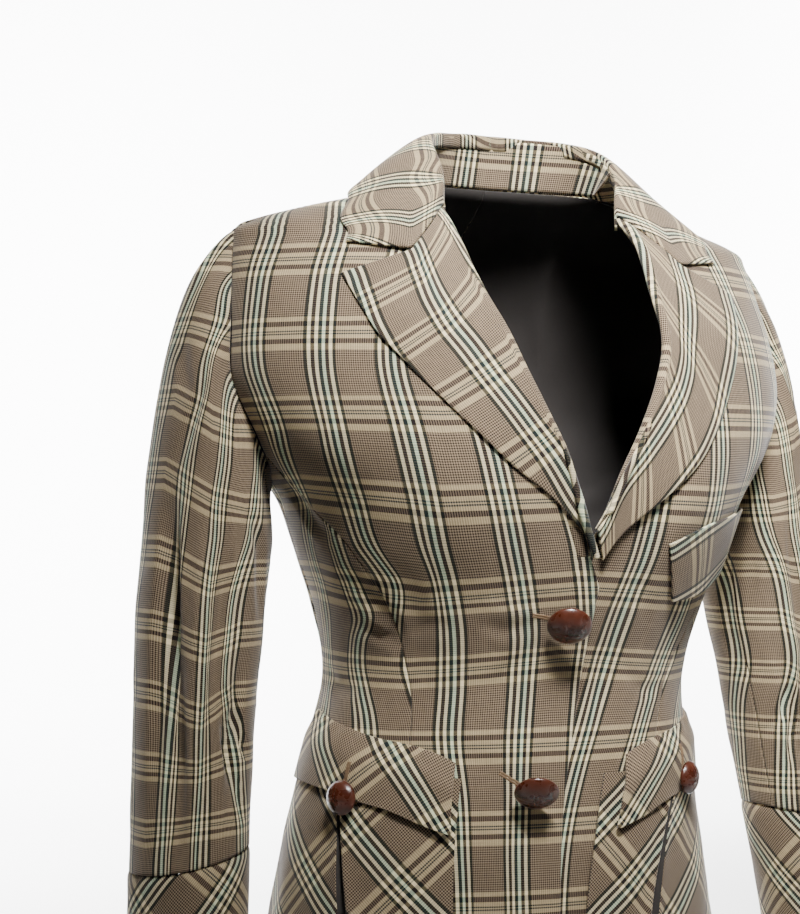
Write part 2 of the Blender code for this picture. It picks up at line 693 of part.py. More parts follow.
def patch(place, side):
    """A patch pocket laid on the front, with an inverted pleat down its middle."""
    _, _, inner_top, inner_bottom, pleat_top, pleat_bottom = POCKETS[place]
    down = np.linspace(0.0, 1.0, 9)[:, None]
    height = POCKET_TOP + (POCKET_BOTTOM - POCKET_TOP) * down
    inner = inner_top + (inner_bottom - inner_top) * down
    pleat = turn_at(pleat_top + (pleat_bottom - pleat_top) * down, height)
    half_gap = np.degrees(PLEAT_OPEN / 0.13) * (0.5 + 0.5 * ease(down * 1.6))
    lip = half_gap + 0.35
    toward = np.linspace(0.0, 1.0, 6)
    near = inner + (pleat - lip - inner) * toward
    far = pleat + lip + (POCKET_OUTER - pleat - lip) * toward
    turn = np.concatenate([near, pleat - half_gap, pleat + half_gap, far], axis=1)
    edge = np.minimum(turn - inner, POCKET_OUTER - turn) / 14.0
    rise = PATCH_RISE * ease(edge) * ease((1.0 - down) / 0.12) * ease(down / 0.12)
    rise = CLOTH + LAID_GAP + 0.0006 + rise
    in_pleat = np.abs(turn - pleat) < half_gap + 0.1
    rise = np.where(in_pleat, np.maximum(rise - PLEAT_DEPTH, CLOTH + LAID_GAP), rise)
    points = on_body(side * turn, np.broadcast_to(height, turn.shape), rise)
    return wall("pocket_" + place, points, CLOTH, PLAID, flip=side > 0)


def flap(place, side):
    """A pocket's flap, sewn along its top and buttoned to the patch."""
    inner_top, inner_bottom = POCKETS[place][:2]
    across = np.linspace(0.0, 1.0, 12)
    down = np.linspace(0.0, 1.0, 6)[:, None]
    inner = inner_top + (inner_bottom - inner_top) * down
    turn = inner + (FLAP_OUTER - inner) * across
    top = smooth(FLAP, "turn", "top", turn)
    height = top + (smooth(FLAP, "turn", "bottom", turn) - top) * down
    rise = FOLDED + LAID_GAP + 0.0062 * ease(down / 0.45) * (1 - 0.45 * across**2)
    points = on_body(side * turn, height, np.broadcast_to(rise, turn.shape))
    return wall("flap_" + place, points, FOLDED, PLAID, flip=side > 0)


BREAST_FLAP = (
    ("across", "top_turn", "top_height", "bottom_turn", "bottom_height"),
    (0.00, 20.5, -0.2460, 30.0, -0.2840),
    (0.30, 32.0, -0.2340, 42.0, -0.2800),
    (0.65, 50.0, -0.2260, 56.0, -0.2700),
    (1.00, 70.0, -0.2210, 71.0, -0.2620),
)


def breast_flap():
    """The slanted flap on the left breast."""
    across = np.linspace(0.0, 1.0, 9)
    down = np.linspace(0.0, 1.0, 4)[:, None]
    top_turn = smooth(BREAST_FLAP, "across", "top_turn", across)
    top_height = smooth(BREAST_FLAP, "across", "top_height", across)
    bottom_turn = smooth(BREAST_FLAP, "across", "bottom_turn", across)
    bottom_height = smooth(BREAST_FLAP, "across", "bottom_height", across)
    turn = top_turn + (bottom_turn - top_turn) * down
    height = top_height + (bottom_height - top_height) * down
    rise = np.broadcast_to(FOLDED + LAID_GAP + 0.0006 + 0.0010 * down, turn.shape)
    return wall("breast_flap", on_body(turn, height, rise), FOLDED, PLAID, flip=True)


# Buttons covered in leather: a dome over a flat back, and a shank under it that the cloth hides.
BUTTON_PROFILE = (
    ("out", "up"),
    (0.00, 1.00),
    (0.36, 0.94),
    (0.66, 0.77),
    (0.88, 0.50),
    (1.00, 0.22),
    (0.96, 0.05),
    (0.80, 0.00),
    (0.00, 0.00),
)
BUTTONS = (
    # name, radius, thickness, turn, height, surface under it, tilt down and aside in degrees
    ("button_front_top", 0.0145, 0.0095, -0.5, -0.2955, 0.0, 24.0, -20.0),
    ("button_front_low", 0.0145, 0.0095, -1.8, -0.4050, 0.0, 55.0, -14.0),
    ("button_pocket_right", 0.0112, 0.0080, -54.5, -0.4115, 0.0089, 8.0, 0.0),
    ("button_pocket_left", 0.0112, 0.0080, 49.0, -0.4055, 0.0089, 8.0, 0.0),
)


def button(name, radius, thick, turn, height, under, tilt, aside):
    """One button, turned about its own axis and set against the cloth."""
    mesh = bpy.data.meshes.new(name)
    points = [(radius * out, 0.0, thick * up) for out, up in BUTTON_PROFILE[1:]]
    edges = [(at, at + 1) for at in range(len(points) - 1)]
    mesh.from_pydata(points, edges, [])
    mesh.materials.append(LEATHER)
    piece = bpy.data.objects.new(name, mesh)
    BLAZER.objects.link(piece)
    turned = piece.modifiers.new("turned", "SCREW")
    turned.steps = turned.render_steps = 22
    turned.use_merge_vertices = True
    turned.merge_threshold = 0.00001
    turned.use_smooth_shade = True
    out = Vector(outward(turn, height))
    across = Vector((0.0, 0.0, 1.0)).cross(out).normalized()
    face = Quaternion(across, math.radians(tilt)) @ out
    face = Quaternion((0.0, 0.0, 1.0), math.radians(aside)) @ face
    clear = under + LAID_GAP + radius * math.sin(face.angle(out)) * 0.97
    piece.location = Vector(body(turn, height)) + out * clear
    piece.rotation_euler = face.to_track_quat("Z", "Y").to_euler()
    return piece


front("front_right", -1.0, ROLL_RIGHT, under=False)
front("front_left", 1.0, ROLL_LEFT, under=True)
side_front("side_front_right", -1.0)
side_front("side_front_left", 1.0)
back("back_right", -1.0)
back("back_left", 1.0)
for place, side in SIDES.items():
    sleeve("sleeve_top_" + place, side, BACK_ARM_SEAM - 359.3, FRONT_ARM_SEAM - 0.6, 20)
    sleeve("sleeve_under_" + place, side, FRONT_ARM_SEAM + 0.6, BACK_ARM_SEAM - 0.7, 9)
    cuff("cuff_" + place, side)
    patch(place, side)
    flap(place, side)
lapel("lapel_right", -1.0, ROLL_RIGHT, EDGE_RIGHT, FOLD_START_RIGHT)
lapel("lapel_left", 1.0, ROLL_LEFT, EDGE_LEFT, FOLD_START_LEFT)
collar()
collar_stand()
breast_flap()
for row in BUTTONS:
    button(*row)
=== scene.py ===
import math

import bmesh
import bpy
import numpy as np
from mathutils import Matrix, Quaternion, Vector


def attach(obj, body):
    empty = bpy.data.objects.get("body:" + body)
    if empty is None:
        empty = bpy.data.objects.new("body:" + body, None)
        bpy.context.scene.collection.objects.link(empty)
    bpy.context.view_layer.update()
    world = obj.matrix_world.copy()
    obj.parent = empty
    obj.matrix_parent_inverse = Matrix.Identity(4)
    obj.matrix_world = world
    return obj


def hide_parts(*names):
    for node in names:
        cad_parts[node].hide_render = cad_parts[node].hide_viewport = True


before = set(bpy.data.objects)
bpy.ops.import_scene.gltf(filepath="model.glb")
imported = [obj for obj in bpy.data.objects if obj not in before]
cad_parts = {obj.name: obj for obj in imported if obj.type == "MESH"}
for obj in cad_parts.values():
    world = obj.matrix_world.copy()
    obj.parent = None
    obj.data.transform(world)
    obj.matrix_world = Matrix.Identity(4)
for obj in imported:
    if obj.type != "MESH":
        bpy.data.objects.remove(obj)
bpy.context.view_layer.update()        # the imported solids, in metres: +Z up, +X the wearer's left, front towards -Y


# --- The room -------------------------------------------------------------------------------------
# A pale sweep of paper that is floor and background in one, lamps over and before the garment and
# two that light the paper. The camera stands on the wearer's right, level with the bust, and looks
# straight ahead.
VIEW_TURN = math.radians(-25.0)
VIEW_DISTANCE = 1.40  # from the upright axis through the neck
VIEW_HEIGHT = -0.2205
LENS = 78.8  # mm, on a 36 mm sensor
PICTURE = (800, 914)
AXIS_PIXEL = (510, 505)  # where the point straight ahead of the lens falls
FLOOR = -0.68
PAPER = (0.93, 0.93, 0.93)


def finish_of(name):
    """A new node material and its shader."""
    made = bpy.data.materials.new(name)
    made.use_nodes = True
    return made, made.node_tree.nodes["Principled BSDF"]


def mesh_object(name, vertices, faces, finish, smooth=True):
    """A mesh from points and faces, with one material."""
    mesh = bpy.data.meshes.new(name)
    mesh.from_pydata([tuple(point) for point in vertices], [], [tuple(face) for face in faces])
    mesh.materials.append(finish)
    if smooth:
        mesh.shade_smooth()
    made = bpy.data.objects.new(name, mesh)
    bpy.context.scene.collection.objects.link(made)
    return made


def grid_faces(rows, columns):
    """The quads of a grid of points that is stored row by row."""
    first = np.arange(rows - 1)[:, None] * columns + np.arange(columns - 1)
    return np.stack([first, first + 1, first + columns + 1, first + columns], axis=-1).reshape(-1, 4)


def paper_sweep():
    """Floor, a round bend and a wall, as one sheet turned to face the camera."""
    bend = 0.9
    wall = 2.4
    profile = [(-4.0, 0.0)]
    for step in range(13):
        angle = math.radians(90.0) * step / 12
        profile.append((wall - bend + bend * math.sin(angle), bend - bend * math.cos(angle)))
    profile.append((wall, 3.5))
    points = []
    for depth, height in profile:
        for side in (-4.0, 4.0):
            x = side * math.cos(VIEW_TURN) - depth * math.sin(VIEW_TURN)
            y = side * math.sin(VIEW_TURN) + depth * math.cos(VIEW_TURN)
            points.append((x, y, FLOOR + height))
    paper, shader = finish_of("paper")
    shader.inputs["Base Color"].default_value = (*PAPER, 1.0)
    shader.inputs["Roughness"].default_value = 0.95
    mesh_object("paper_sweep", points, grid_faces(len(profile), 2), paper)


def soft_box(name, place, aim, size, power, spread=180.0):
    """An area light that faces a point, with a grid over it that keeps its beam within a spread."""
    light = bpy.data.lights.new(name, "AREA")
    light.shape = "RECTANGLE"
    light.size, light.size_y = size
    light.energy = power
    light.spread = math.radians(spread)
    lamp = bpy.data.objects.new(name, light)
    lamp.location = place
    lamp.rotation_euler = (Vector(aim) - Vector(place)).to_track_quat("-Z", "Y").to_euler()
    bpy.context.scene.collection.objects.link(lamp)


paper_sweep()
soft_box("key", (-0.10, -0.74, 0.84), (0.05, -0.08, -0.03), (0.4, 0.4), 5.6, 36.0)
soft_box("fill", (1.5, -1.9, 0.4), (0.0, 0.0, -0.25), (1.0, 1.0), 0.6)
soft_box("above", (0.1, 0.1, 1.2), (0.0, 0.0, -0.1), (1.0, 1.0), 1.6)
for side in (-1.0, 1.0):
    place = (0.6 + 1.9 * side, 1.0, 0.4)
    on_wall = (1.2 + 0.5 * side, 2.3, 0.1)
    soft_box("backdrop", place, on_wall, (1.0, 2.0), 320.0, 120.0)

world = bpy.data.worlds.new("studio")
world.use_nodes = True
world.node_tree.nodes["Background"].inputs["Color"].default_value = (1.0, 1.0, 1.0, 1.0)
world.node_tree.nodes["Background"].inputs["Strength"].default_value = 0.05
bpy.context.scene.world = world

lens = bpy.data.cameras.new("camera")
lens.lens = LENS
lens.sensor_width = 36.0
lens.shift_x = (PICTURE[0] / 2 - AXIS_PIXEL[0]) / max(PICTURE)
lens.shift_y = (AXIS_PIXEL[1] - PICTURE[1] / 2) / max(PICTURE)
camera = bpy.data.objects.new("camera", lens)
camera.location = (VIEW_DISTANCE * math.sin(VIEW_TURN), -VIEW_DISTANCE * math.cos(VIEW_TURN), VIEW_HEIGHT)
camera.rotation_euler = (math.radians(90.0), 0.0, VIEW_TURN)
bpy.context.scene.collection.objects.link(camera)
bpy.context.scene.camera = camera


# --- The suiting ----------------------------------------------------------------------------------
# A light suiting, woollen by its look, in a plaid: groups of cream and dark warp ends on a
# beige-brown ground, crossed by wide tan and brown picks. It is one cloth in every piece, so its
# material reads each piece's own place on the cloth: metres across the warp and metres along it.
WARP_REPEAT = 0.047
WEFT_REPEAT = 0.052
GROUND_COVER = 0.50  # how much of the weft a plain ground end covers
YARNS = {
    # linear colour; for a warp yarn how much it covers the weft, for a weft yarn 1 if it is paired
    "ground_warp": ((0.296, 0.232, 0.163), GROUND_COVER),
    "cream": ((0.960, 0.870, 0.600), 0.38),
    "pale_teal": ((0.720, 0.880, 0.660), 0.38),
    "black_green": ((0.004, 0.008, 0.004), 0.86),
    "dark_brown": ((0.012, 0.005, 0.003), 0.80),
    "dark_teal": ((0.002, 0.016, 0.016), 0.84),
    "ground_weft": ((0.296, 0.232, 0.163), 1.0),
    "tan": ((0.520, 0.430, 0.265), 0.0),
    "mauve_brown": ((0.030, 0.014, 0.012), 0.0),
    "blue_grey": ((0.030, 0.046, 0.050), 0.0),
}
DARK_YARN = (0.014, 0.008, 0.005)  # every other pair of the ground's yarns
# The stripes of one repeat in their order, with how wide each is beside the others.
WARP = (
    ("ground_warp", 12.9),
    ("black_green", 2.3),
    ("cream", 2.3),
    ("dark_brown", 2.5),
    ("cream", 2.3),
    ("dark_teal", 2.5),
    ("pale_teal", 2.3),
    ("dark_brown", 2.5),
    ("cream", 2.3),
    ("black_green", 2.3),
    ("ground_warp", 13.0),
)
WEFT = (
    ("ground_weft", 15.0),
    ("tan", 4.0),
    ("mauve_brown", 3.2),
    ("tan", 2.7),
    ("blue_grey", 1.1),
    ("tan", 0.7),
    ("blue_grey", 1.1),
    ("tan", 2.8),
    ("mauve_brown", 3.4),
    ("tan", 3.0),
    ("ground_weft", 15.0),
)
YARN = 0.000375  # from one yarn to the next, in metres
SLUB_LONG = 22.0  # how many times longer than wide a slub is
SLUB_SCALE = 55.0
OVER_AND_UNDER = 0.28  # how much more an end covers where it is on top than where it is below
DEPTH = 1.25  # contrast between dark and light yarns


class Nodes:
    """Short calls for a material's node tree."""

    def __init__(self, finish):
        self.tree = finish.node_tree

    def add(self, kind, **settings):
        node = self.tree.nodes.new(kind)
        for name, value in settings.items():
            setattr(node, name, value)
        return node

    def link(self, source, socket):
        if isinstance(source, bpy.types.NodeSocket):
            self.tree.links.new(source, socket)
        else:
            socket.default_value = source

    def math(self, operation, first, second=0.0, third=0.0):
        node = self.add("ShaderNodeMath", operation=operation)
        for place, value in enumerate((first, second, third)):
            self.link(value, node.inputs[place])
        return node.outputs[0]

    def mix(self, share, first, second, blend="MIX"):
        node = self.add("ShaderNodeMix", data_type="RGBA", blend_type=blend)
        self.link(share, node.inputs[0])
        self.link(first, node.inputs[6])
        self.link(second, node.inputs[7])
        return node.outputs[2]

    def noise(self, where, scale, detail=2.0):
        node = self.add("ShaderNodeTexNoise")
        self.link(where, node.inputs["Vector"])
        node.inputs["Scale"].default_value = scale
        node.inputs["Detail"].default_value = detail
        return node.outputs["Fac"]

    def join(self, x, y, z=0.0):
        node = self.add("ShaderNodeCombineXYZ")
        for place, value in enumerate((x, y, z)):
            self.link(value, node.inputs[place])
        return node.outputs[0]

    def shaded(self, colour, light):
        """A colour made darker or lighter."""
        return self.mix(1.0, colour, self.join(light, light, light), "MULTIPLY")

    def emboss(self, shader, height, strength, depth):
        """Relief on a shader, that deep in metres."""
        node = self.add("ShaderNodeBump")
        node.inputs["Strength"].default_value = strength
        node.inputs["Distance"].default_value = depth
        self.link(height, node.inputs["Height"])
        self.link(node.outputs[0], shader.inputs["Normal"])


def of_four(nodes, count):
    """1 in the first two of every four yarns, 0 in the others."""
    return nodes.math("LESS_THAN", nodes.math("FRACT", nodes.math("DIVIDE", count, 4.0)), 0.49)


def yarn_ramp(nodes, order, along, repeat):
    """The colour of the yarn at a place along one repeat, and the number that goes with it."""
    ramp = nodes.add("ShaderNodeValToRGB")
    ramp.color_ramp.interpolation = "CONSTANT"
    stops = ramp.color_ramp.elements
    total = sum(width for _, width in order)
    at = 0.0
    for place, (name, width) in enumerate(order):
        colour, number = YARNS[name]
        stop = stops[place] if place < 2 else stops.new(at / total)
        stop.position = at / total
        stop.color = (*colour, number)
        at += width
    nodes.link(nodes.math("FRACT", nodes.math("DIVIDE", along, repeat)), ramp.inputs[0])
    return ramp.outputs["Color"], ramp.outputs["Alpha"]


def suiting():
    """The woven cloth: its ends and picks, their slubs and its soft surface."""
    finish, shader = finish_of("plaid_suiting")
    nodes = Nodes(finish)
    place = nodes.add("ShaderNodeUVMap", uv_map="cloth")
    parts = nodes.add("ShaderNodeSeparateXYZ")
    nodes.link(place.outputs[0], parts.inputs[0])
    across, along = parts.outputs[0], parts.outputs[1]
    end = nodes.math("FLOOR", nodes.math("DIVIDE", across, YARN))
    pick = nodes.math("FLOOR", nodes.math("DIVIDE", along, YARN))
    warp, cover = yarn_ramp(nodes, WARP, across, WARP_REPEAT)
    weft, paired = yarn_ramp(nodes, WEFT, along, WEFT_REPEAT)
    in_ground = nodes.math("COMPARE", cover, GROUND_COVER, 0.03)
    warp = nodes.mix(nodes.math("MULTIPLY", of_four(nodes, end), in_ground), warp, (*DARK_YARN, 1.0))
    weft = nodes.mix(nodes.math("MULTIPLY", of_four(nodes, pick), paired), weft, (*DARK_YARN, 1.0))
    # Ends and picks pass over each other by turns. How far a warp yarn covers is given in YARNS.
    by_turns = nodes.math("PINGPONG", nodes.math("ADD", end, pick), 1.0)
    below = nodes.math("SUBTRACT", cover, OVER_AND_UNDER / 2)
    colour = nodes.mix(nodes.math("MULTIPLY_ADD", by_turns, OVER_AND_UNDER, below), weft, warp)
    slub_warp = nodes.noise(nodes.join(nodes.math("MULTIPLY", across, SLUB_LONG), along), SLUB_SCALE)
    slub_weft = nodes.noise(nodes.join(across, nodes.math("MULTIPLY", along, SLUB_LONG)), SLUB_SCALE)
    slub = nodes.math("ADD", slub_warp, slub_weft)
    colour = nodes.shaded(colour, nodes.math("MULTIPLY_ADD", slub, 0.40, 0.60))
    deepened = nodes.add("ShaderNodeGamma")
    deepened.inputs["Gamma"].default_value = DEPTH
    nodes.link(colour, deepened.inputs["Color"])
    nodes.link(deepened.outputs[0], shader.inputs["Base Color"])
    nodes.emboss(shader, slub, 0.30, 0.00025)
    shader.inputs["Roughness"].default_value = 0.88
    shader.inputs["Specular IOR Level"].default_value = 0.22
    shader.inputs["Sheen Weight"].default_value = 0.12
    shader.inputs["Sheen Roughness"].default_value = 0.45
    return finish


SUITING = suiting()


# --- Fronts and side fronts -----------------------------------------------------------------------
# Each front is cut in two pieces, sewn along a seam that leaves the armhole, curves in under the
# bust and runs down to the hem. The right front laps over the left one. Inside is a dark lining.
HEM = -0.590
UNDERARM = -0.207
SHOULDER_TIP = -0.0355
SIDE_SEAM = 97.0  # turns are in degrees, from the centre front (0) to the centre back (180)
FRONT_EXTENSION = 0.018  # how far each front passes the centre front
FRONT_CORNER = 0.045  # rounding of the fronts' lower corners
SEAM_TURN = 0.07  # half of a seam's gap, as a turn about the body
SHOULDER_TURN = 0.35
UNDERLAP = 0.0008  # between the two fronts where they cross
SOLID_MORE = 0.0004  # how much thicker the solids' walls are than the cloth's
FRONT_RUMPLE = 0.0007
UNDERLAP_TURN = 13.0  # where the left front begins to come up from under the right one
WALL = 0.0012  # one layer of suiting with its lining
FACED = 0.0018  # a collar, lapel, flap or cuff
LAID_GAP = 0.0005
SEAM_GAP = 0.0003
SPACING = 0.0028  # between the points of a cloth grid
SIDES = {"right": -1.0, "left": 1.0}

# Rings of the body. front and back are depths from the ring's centre, and power is the roundness
# of the ring: 2 is an ellipse, more is squarer.
TORSO = (
    ("height", "half_width", "front", "back", "centre", "power"),
    (-0.600, 0.164, 0.122, 0.120, 0.000, 2.2),
    (-0.500, 0.151, 0.118, 0.114, 0.000, 2.2),
    (-0.430, 0.1395, 0.112, 0.100, 0.000, 2.2),
    (-0.380, 0.132, 0.104, 0.088, 0.000, 2.2),
    (-0.335, 0.1275, 0.100, 0.082, 0.000, 2.2),
    (-0.290, 0.137, 0.109, 0.088, 0.000, 2.3),
    (-0.250, 0.151, 0.117, 0.097, 0.000, 2.4),
    (-0.215, 0.163, 0.121, 0.104, 0.001, 2.6),
    (-0.180, 0.190, 0.121, 0.108, 0.002, 2.4),
    (-0.140, 0.207, 0.118, 0.110, 0.006, 2.2),
    (-0.100, 0.206, 0.109, 0.106, 0.010, 2.1),
    (-0.070, 0.202, 0.095, 0.098, 0.014, 2.0),
    (-0.045, 0.1965, 0.080, 0.086, 0.018, 2.0),
    (-0.0355, 0.1930, 0.071, 0.080, 0.019, 2.0),
    (-0.0200, 0.1500, 0.050, 0.066, 0.016, 2.0),
    (-0.0080, 0.1020, 0.037, 0.048, 0.012, 2.0),
    (0.0000, 0.0700, 0.028, 0.038, 0.010, 2.0),
    (0.0100, 0.0560, 0.022, 0.036, 0.009, 2.0),
)

# The hips are turned a little to the wearer's right and stand to that side of the shoulders.
STANCE = (
    ("height", "turn", "lean"),
    (-0.600, -9.0, -0.0170),
    (-0.420, -8.5, -0.0150),
    (-0.330, -4.5, -0.0050),
    (-0.270, -2.0, -0.0020),
    (-0.200, 0.0, 0.0),
    (0.050, 0.0, 0.0),
)

BUST_HEIGHT = -0.218
BUST_APART = 0.086  # each side of the centre front
BUST_WIDTH = 0.050
BUST_REACH = 0.050
BUST_LIFT = 0.007

# The seam where a sleeve is set in: turn about the arm, from the shoulder tip (0) by the front
# (90) and the underarm (180) to the back (270), and where that is on the body.
ARMHOLE = (
    ("about_arm", "turn", "height"),
    (0.0, 90.0, SHOULDER_TIP),
    (45.0, 85.0, -0.078),
    (90.0, 84.0, -0.130),
    (135.0, 84.0, -0.178),
    (180.0, SIDE_SEAM, UNDERARM),
    (225.0, 119.0, -0.178),
    (270.0, 127.0, -0.125),
    (315.0, 118.0, -0.072),
    (360.0, 90.0, SHOULDER_TIP),
)

# Where each front folds back as its lapel, from the break to the neck: height, and the distance
# from the centre front to its own side. The left one stands off in a longer curve.
ROLL_RIGHT = (
    ("height", "aside"),
    (-0.2750, -0.0178),
    (-0.2560, -0.0110),
    (-0.2320, 0.0000),
    (-0.2140, 0.0066),
    (-0.1900, 0.0150),
    (-0.1635, 0.0280),
    (-0.1345, 0.0410),
    (-0.1070, 0.0510),
    (-0.0890, 0.0580),
    (-0.0700, 0.0625),
    (-0.0485, 0.0655),
    (-0.0200, 0.0665),
    (0.0000, 0.0670),
)
ROLL_LEFT = (
    ("height", "aside"),
    (-0.2750, -0.0178),
    (-0.2560, -0.0050),
    (-0.2370, 0.0073),
    (-0.1965, 0.0233),
    (-0.1690, 0.0377),
    (-0.1360, 0.0544),
    (-0.1200, 0.0610),
    (-0.1040, 0.0643),
    (-0.0840, 0.0655),
    (-0.0600, 0.0700),
    (-0.0390, 0.0735),
    (-0.0200, 0.0710),
    (0.0000, 0.0670),
)
BREAK = -0.2740
FOLD_TUCK = 0.0042  # draws a front in under its lapel's roll


def column(table, name):
    """One named column of a table."""
    place = table[0].index(name)
    return np.array([row[place] for row in table[1:]], dtype=float)


def smooth(table, along, name, at):
    """A column read at any place between the rows, on a smooth curve through them."""
    xs = column(table, along)
    ys = column(table, name)
    slopes = np.gradient(ys, xs)
    at = np.clip(np.asarray(at, dtype=float), xs[0], xs[-1])
    row = np.clip(np.searchsorted(xs, at, side="right") - 1, 0, len(xs) - 2)
    step = xs[row + 1] - xs[row]
    t = (at - xs[row]) / step
    rise = t * t * (3 - 2 * t)
    lean = step * (slopes[row] * t * (1 - t) ** 2 - slopes[row + 1] * t * t * (1 - t))
    return ys[row] + (ys[row + 1] - ys[row]) * rise + lean


def ease(t):
    """0 below 0, 1 above 1 and smooth between."""
    t = np.clip(t, 0.0, 1.0)
    return t * t * (3 - 2 * t)


def bell(t):
    """1 at 0, falling smoothly to 0 at -1 and 1."""
    return (1 - np.clip(np.abs(t), 0.0, 1.0) ** 2) ** 2


def body(turn, height):
    """The outer face of the worn body at a turn and a height."""
    turn, height = np.broadcast_arrays(np.asarray(turn, float), np.asarray(height, float))
    sine, cosine = np.sin(np.radians(turn)), np.cos(np.radians(turn))
    power = 2 / smooth(TORSO, "height", "power", height)
    half_width = smooth(TORSO, "height", "half_width", height)
    front = smooth(TORSO, "height", "front", height)
    back = smooth(TORSO, "height", "back", height)
    depth = np.where(cosine > 0, front, back)
    x = half_width * np.sign(sine) * np.abs(sine) ** power
    y = smooth(TORSO, "height", "centre", height) - depth * np.sign(cosine) * np.abs(cosine) ** power
    across = (np.abs(x) - BUST_APART) / BUST_WIDTH
    up = (height - BUST_HEIGHT) / BUST_REACH
    y = y - BUST_LIFT * np.exp(-across**2 - up**2) * ease(cosine * 3)
    spin = np.radians(smooth(STANCE, "height", "turn", height))
    lean = smooth(STANCE, "height", "lean", height)
    return np.stack(
        [x * np.cos(spin) - y * np.sin(spin) + lean, x * np.sin(spin) + y * np.cos(spin), height],
        axis=-1,
    )


def outward(turn, height):
    """The direction straight out of the body there."""
    step = 0.5
    rise = 0.001
    aside = body(turn + step, height) - body(turn - step, height)
    up = body(turn, np.asarray(height) + rise) - body(turn, np.asarray(height) - rise)
    normal = np.cross(aside, up)
    return normal / np.linalg.norm(normal, axis=-1, keepdims=True)


def on_body(turn, height, lift):
    """A point that stands off the body."""
    return body(turn, height) + outward(turn, height) * np.asarray(lift)[..., None]


def turn_at(aside, height):
    """The turn at which the front of the body is that far from the centre front."""
    half_width = smooth(TORSO, "height", "half_width", height)
    power = smooth(TORSO, "height", "power", height) / 2
    share = np.clip(np.abs(aside) / half_width, 0.0, 1.0)
    return np.sign(aside) * np.degrees(np.arcsin(share**power))


# The seam that shapes each front: it leaves the armhole, curves in under the bust and runs down to
# the hem, and parts the front from the narrower side front.
PANEL_ARM = 147.0  # where about the arm it reaches the armhole
PANEL_TOP = -0.1886  # and the height there
PANEL_SEAM = (
    ("height", "turn"),
    (HEM, 36.5),
    (-0.4500, 36.0),
    (-0.4000, 37.5),
    (-0.3565, 41.0),
    (-0.3210, 46.7),
    (-0.2925, 51.5),
    (-0.2610, 59.5),
    (-0.2405, 67.5),
    (-0.2250, 77.5),
    (-0.2080, 84.0),
    (PANEL_TOP, 86.3),
)

# The fronts. Rows climb from the hem to the shoulder seam: side is the height at the panel seam,
# about_arm the place on the armhole above it, and front the height at the edge or the fold.
FRONT_ROWS = (
    ("row", "side", "about_arm", "front"),
    (0.00, HEM, PANEL_ARM, HEM),
    (0.08, -0.545, PANEL_ARM, -0.553),
    (0.36, -0.360, PANEL_ARM, -0.385),
    (0.50, -0.275, PANEL_ARM, -0.295),
    (0.58, -0.232, PANEL_ARM, -0.240),
    (0.66, PANEL_TOP, PANEL_ARM, -0.188),
    (0.80, -0.148, 105.0, -0.112),
    (0.90, -0.088, 54.0, -0.056),
    (1.00, SHOULDER_TIP, 0.0, -0.001),
)
UNDERARM_ROW = 0.66

# The side fronts have the same rows: side is the height at the side seam.
SIDE_FRONT_ROWS = (
    ("row", "side"),
    (0.00, HEM),
    (0.08, -0.545),
    (0.36, -0.362),
    (0.50, -0.284),
    (0.58, -0.245),
    (0.66, UNDERARM),
)


def front_side(up):
    """A front's edge along the panel seam and then the armhole, as turns and heights."""
    about_arm = smooth(FRONT_ROWS, "row", "about_arm", up)
    on_armhole = up > UNDERARM_ROW - 1e-6
    above = smooth(ARMHOLE, "about_arm", "height", about_arm)
    height = np.where(on_armhole, above, smooth(FRONT_ROWS, "row", "side", up))
    below = smooth(PANEL_SEAM, "height", "turn", height)
    return np.where(on_armhole, smooth(ARMHOLE, "about_arm", "turn", about_arm), below), height


# The plaid as it lies on the fronts. A row gives a height and how far the middles of the warp's
# groups of stripes are there, round the body from the centre front. Next to each other the columns
# are one repeat apart on the cloth.
STRIPES_RIGHT = (
    ("height", "a", "b", "c", "d", "e"),
    (-0.5900, -0.034, 0.012, 0.050, 0.098, 0.145),
    (-0.4500, -0.030, 0.0127, 0.0489, 0.096, 0.143),
    (-0.4100, -0.027, 0.0150, 0.0540, 0.101, 0.148),
    (-0.3700, -0.023, 0.0194, 0.0654, 0.111, 0.158),
    (-0.3380, -0.021, 0.0225, 0.0689, 0.114, 0.161),
    (-0.3040, -0.018, 0.0275, 0.0763, 0.118, 0.165),
    (-0.2700, -0.0095, 0.0390, 0.0890, 0.1228, 0.172),
    (-0.2450, -0.001, 0.0495, 0.1010, 0.147, 0.196),
    (-0.2140, 0.0135, 0.0610, 0.1122, 0.1618, 0.2135),
    (-0.1700, 0.026, 0.073, 0.1235, 0.1715, 0.2148),
    (-0.1300, 0.036, 0.083, 0.130, 0.175, 0.224),
    (-0.0750, 0.021, 0.068, 0.1155, 0.1625, 0.209),
    (-0.0285, -0.002, 0.045, 0.092, 0.138, 0.181),
    (0.0100, -0.018, 0.029, 0.074, 0.120, 0.165),
)
STRIPES_LEFT = (
    ("height", "a", "b", "c"),
    (-0.5900, 0.012, 0.056, 0.103),
    (-0.4200, 0.020, 0.060, 0.104),
    (-0.3755, 0.027, 0.0705, 0.112),
    (-0.3390, 0.033, 0.0815, 0.125),
    (-0.2900, 0.0395, 0.097, 0.144),
    (-0.2545, 0.0474, 0.101, 0.148),
    (-0.2125, 0.0514, 0.105, 0.152),
    (-0.1300, 0.060, 0.107, 0.154),
    (-0.0285, 0.045, 0.092, 0.138),
    (0.0100, 0.029, 0.074, 0.120),
)
